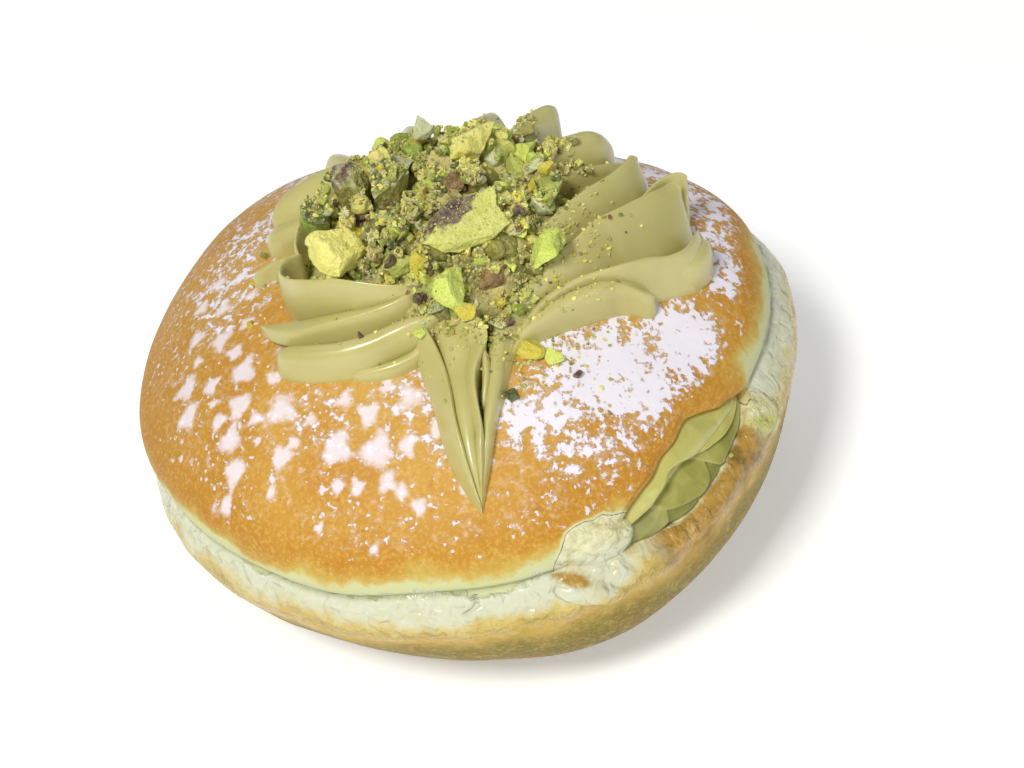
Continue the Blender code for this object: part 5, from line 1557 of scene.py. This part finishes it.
    def build_litter(self, floor: list[bpy.types.Object], kernels: list[bpy.types.Object],
                     material: bpy.types.Material) -> list[bpy.types.Object]:
        """Chunks, crumbs and powder, dropped onto whatever lies below them.

        Args:
            floor: What the pieces can land on; each kind also lands on the one before.
            kernels: The large pieces, on which only the powder stays.
            material: What the pieces are dressed with.

        Returns:
            What was there and one joined piece for each kind.
        """
        pieces = list(floor)
        full = {Nut.YELLOW: 1.4, Nut.LIME: 1.5, Nut.SAGE: 3, Nut.GREEN: 1.8, Nut.OLIVE: 1.4, Nut.BUTTER: 2,
                Nut.TAN: 3, Nut.BROWN: 0.9, Nut.PURPLE: 0.7, Nut.DARK: 1.4, Nut.DUSTY: 1.6, Nut.PALE: 1.2}
        pale = {Nut.YELLOW: 1.2, Nut.LIME: 0.6, Nut.SAGE: 2.5, Nut.OLIVE: 1.6, Nut.BUTTER: 2.4, Nut.TAN: 5,
                Nut.DUSTY: 3.0, Nut.BROWN: 0.4, Nut.PALE: 1.5}
        plans = (Plan("nut_lumps", 70, 1.4, 2.7, 3, 0.09, 0.90, 86, full),
                 Plan("nut_chunks", 300, 0.7, 1.7, 2, 0.06, 0.94, 81, full),
                 Plan("nut_bits", 1100, 0.4, 0.95, 1, 0.06, 0.99, 82, full),
                 Plan("nut_crumbs", 6000, 0.16, 0.42, 0, 0.0, 1.02, 83, pale),
                 Plan("nut_powder", 5000, 0.09, 0.20, 0, 0.0, 1.04, 84, pale))
        for plan in plans:
            draw = np.random.default_rng(plan.seed)
            x, y = self.spread_places(draw, plan.count, plan.reach)
            size = plan.small + (plan.large - plan.small) * draw.power(0.6, plan.count)
            sizes = size[:, None] * draw.uniform(0.5, 1.3, (plan.count, 3))
            ground = [piece for piece in pieces if plan.levels > 1 or piece.name != "nut_lumps"]
            z = drop(tree_of(ground + (kernels if plan.name == "nut_powder" else [])), x, y)
            keep = ~np.isnan(z)
            places = np.stack([x, y, z + PERCH * size], axis=-1)[keep]
            chips = [Chip.make(plan.seed * 10 + kind, plan.levels, 8, plan.rough) for kind in range(8)]
            litter = Litter(plan.name, chips, plan.seed)
            litter.lay(places, sizes[keep], pick_colours(draw, int(keep.sum()), plan.kinds))
            pieces.append(litter.build(material, "chopped_nut"))
        return pieces


def tree_of(pieces: Sequence[bpy.types.Object]) -> BVHTree:
    """One tree of faces from several pieces, in metres."""
    points, faces, count = [], [], 0
    for piece in pieces:
        piece.data.calc_loop_triangles()
        flat = np.empty(len(piece.data.vertices) * 3, dtype=np.float32)
        piece.data.vertices.foreach_get("co", flat)
        corners = np.empty(len(piece.data.loop_triangles) * 3, dtype=np.int32)
        piece.data.loop_triangles.foreach_get("vertices", corners)
        points.append(flat.reshape(-1, 3))
        faces.append(corners.reshape(-1, 3) + count)
        count += len(flat) // 3
    return BVHTree.FromPolygons(np.concatenate(points).tolist(), np.concatenate(faces).tolist())


def drop(ground: BVHTree, x: Array, y: Array) -> Array:
    """Height of the ground under each point of the plan, in millimetres, or no number."""
    down = Vector((0, 0, -1))
    plan = to_frame(np.stack([x, y, np.full_like(x, 60.0)], axis=-1))
    hits = [ground.ray_cast(Vector(start), down)[0] for start in plan]
    return np.array([math.nan if hit is None else hit.z / MM - ORIGIN[2] for hit in hits])


@dataclass
class LooseCrumbs:
    """Crumbs that fell beside the heap: on the crust, the cream and by the tail."""

    kernels: tuple = (
        (8.9, -21.7, 2.5, Nut.YELLOW), (12.2, -22.9, 1.6, Nut.LIME), (5.6, -28.2, 1.9, Nut.DARK),
        (-28.6, 3.8, 1, Nut.YELLOW), (-29.4, -4.6, 1, Nut.YELLOW), (-26.4, 8.8, 1.2, Nut.OLIVE),
        (15, -25.2, 0.9, Nut.PURPLE), (31.6, 6.4, 1, Nut.YELLOW), (-3.9, -13.2, 2.6, Nut.YELLOW),
        (0.9, -19.3, 2.2, Nut.YELLOW), (-13.5, -18, 0.8, Nut.PURPLE), (-4.6, -15.6, 1.4, Nut.PURPLE),
        (18.7, 4.2, 1.7, Nut.YELLOW), (-5.4, -19, 1.5, Nut.LIME), (13.3, 7.9, 2.6, Nut.LIME),
        (2.6, -0.7, 2.4, Nut.BROWN), (10.6, 15.6, 2.8, Nut.LIME), (-1, 9.1, 3, Nut.DUSTY),
        (-6.8, 11.7, 2.2, Nut.LIME), (-15.1, 9.2, 1.4, Nut.BROWN), (-4.2, 5.3, 2.4, Nut.DUSTY),
        (15.6, 3.7, 1.6, Nut.YELLOW), (13.1, 0.3, 1.8, Nut.YELLOW), (8.6, -1.3, 2, Nut.LIME),
        (-4.1, 14.6, 2.2, Nut.GREEN), (-1.8, -6.4, 2, Nut.OLIVE), (-7.8, -11.4, 1.6, Nut.PURPLE),
        (10.6, -7.3, 1.5, Nut.PURPLE))
    beds: tuple = (
        (0, 0, 11, 12, 110), (13, -14, 4.5, 3.6, 190), (19, -4.5, 3.6, 3.2, 190), (6, -23, 4, 3, 80),
        (17, 9, 3.5, 3, 60), (-5, -19, 4, 2.5, 40), (-25, 2, 3, 6, 16), (18, -25, 8, 4, 14),
        (0, -30, 5, 5, 10))

    def build(self, ground: BVHTree, material: bpy.types.Material) -> list[bpy.types.Object]:
        """Lay the larger crumbs at listed places and the fine ones at random."""
        draw = np.random.default_rng(91)
        x, y, size = (np.array([crumb[axis] for crumb in self.kernels]) for axis in range(3))
        colours = np.array([linear(crumb[3].value) for crumb in self.kernels])
        sizes = size[:, None] * draw.uniform(0.6, 1.0, (len(x), 3))
        large = Litter("loose_bits", [Chip.make(910 + k, 4, 10, 0.08) for k in range(6)], 91)
        large.lay(np.stack([x, y, drop(ground, x, y) + PERCH * size], axis=-1), sizes, colours)
        beds = np.array(self.beds)
        share = beds[:, 4] / beds[:, 4].sum()
        count = int(beds[:, 4].sum())
        bed = beds[draw.choice(len(beds), count, p=share)]
        x, y = (bed[:, axis] + bed[:, axis + 2] * draw.normal(size=count) for axis in range(2))
        z = drop(ground, x, y)
        size = draw.uniform(0.12, 0.40, count)
        fine = Litter("loose_crumbs", [Chip.make(920 + k, 0, 3, 0.0) for k in range(5)], 92)
        kinds = {Nut.YELLOW: 2, Nut.SAGE: 3, Nut.OLIVE: 2, Nut.BUTTER: 3, Nut.TAN: 3, Nut.PURPLE: 0.15,
                 Nut.BROWN: 0.4}
        sizes = size[:, None] * draw.uniform(0.6, 1.3, (count, 3))
        fine.lay(np.stack([x, y, z + 0.3 * size], axis=-1), sizes, pick_colours(draw, count, kinds))
        return [large.build(material, "chopped_nut"), fine.build(material, "chopped_nut")]


@dataclass
class Stage:
    """Floor, light and camera."""

    elevation: float = math.radians(44.0)
    roll: float = math.radians(9.0)
    distance: float = 340.0
    focal_pixels: float = 2250.0
    width: int = 1024
    height: int = 768
    object_pixel: tuple[float, float] = (468.0, 382.0)        # where the bun's middle shows
    sensor: float = 36.0
    lamps: tuple = (("key", (-0.24, -0.40, 0.70), 0.18, 4.75, (255, 253, 248)),
                    ("fill", (0.45, -0.60, 0.38), 0.50, 1.05, (248, 250, 255)),
                    ("rim", (-0.20, 0.70, 0.80), 0.60, 0.9, (255, 255, 255)))
    aim: tuple[float, float, float] = (0.0, 0.0, 0.03)
    sky: Colour = (240, 244, 246)
    sky_strength: float = 0.25
    floor_half: float = 4.0
    floor_glow: float = 0.30

    def camera(self) -> None:
        """Look at the bun's middle, then turn a little so that it shows left of the middle."""
        back = np.array([0.0, -math.cos(self.elevation), math.sin(self.elevation)])
        up = np.array([0.0, math.sin(self.elevation), math.cos(self.elevation)])
        right = np.array([1.0, 0.0, 0.0])
        across = right * math.cos(self.roll) - up * math.sin(self.roll)
        above = right * math.sin(self.roll) + up * math.cos(self.roll)
        off_x = (self.width / 2 - self.object_pixel[0]) / self.focal_pixels
        off_y = (self.height / 2 - self.object_pixel[1]) / self.focal_pixels
        look = -back + off_x * across - off_y * above
        look /= np.linalg.norm(look)
        across = np.cross(look, above)
        across /= np.linalg.norm(across)
        above = np.cross(across, look)
        eye = bpy.data.objects.new("camera", bpy.data.cameras.new("camera"))
        bpy.context.scene.collection.objects.link(eye)
        place = Matrix(np.column_stack([across, above, -look]).tolist()).to_4x4()
        place.translation = Vector(to_frame(back * self.distance))
        eye.matrix_world = place
        eye.data.sensor_width = self.sensor
        eye.data.lens = self.focal_pixels * self.sensor / self.width
        eye.data.clip_start = 0.01
        bpy.context.scene.camera = eye

    def lamp(self, name: str, place: Sequence[float], size: float, power: float, tint: Colour) -> None:
        """Hang a square soft light that faces the bun."""
        data = bpy.data.lights.new(name, "AREA")
        data.shape = "SQUARE"
        data.size = size
        data.energy = power
        data.color = linear(tint)[:3]
        lamp = bpy.data.objects.new(name, data)
        bpy.context.scene.collection.objects.link(lamp)
        turn = (Vector(self.aim) - Vector(place)).to_track_quat("-Z", "Y")
        lamp.matrix_world = Matrix.Translation(Vector(place)) @ turn.to_matrix().to_4x4()

    def build(self) -> None:
        """Set up floor, lights, world and camera."""
        mesh = bpy.data.meshes.new("floor")
        far = self.floor_half
        mesh.from_pydata([(-far, -far, 0), (far, -far, 0), (far, far, 0), (-far, far, 0)], [], [(0, 1, 2, 3)])
        floor = new_object("floor", mesh)
        paint = Paint("pale_floor")
        paint.set(Base_Color=linear((250, 250, 250)), Roughness=0.8,
                  Emission_Color=linear((255, 255, 255)), Emission_Strength=self.floor_glow)
        mesh.materials.append(paint.material)
        for lamp in self.lamps:
            self.lamp(*lamp)
        world = bpy.data.worlds.new("studio")
        world.use_nodes = True
        background = world.node_tree.nodes["Background"]
        background.inputs["Color"].default_value = linear(self.sky)
        background.inputs["Strength"].default_value = self.sky_strength
        bpy.context.scene.world = world
        bpy.context.scene.view_settings.view_transform = "Standard"
        self.camera()


def main() -> None:
    """Build every sub-assembly in order."""
    logging.basicConfig(level=logging.INFO, format="%(message)s")
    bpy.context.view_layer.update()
    Stage().build()
    bun_maker = Bun()
    bun = bun_maker.build()
    Filling(bun_maker).build()
    cream = Rosette().build()
    nut = NutFinish().build()
    heap = NutHeap()
    core = heap.build_core(nut)
    kernels = heap.build_kernels(nut)
    dusted = [kernel for kernel in kernels if "dusted" in kernel.name or "dark" in kernel.name]
    landing = heap.build_litter([bun, cream, core, *dusted], kernels, nut)
    LooseCrumbs().build(tree_of(landing), nut)


if __name__ == "__main__":
    main()
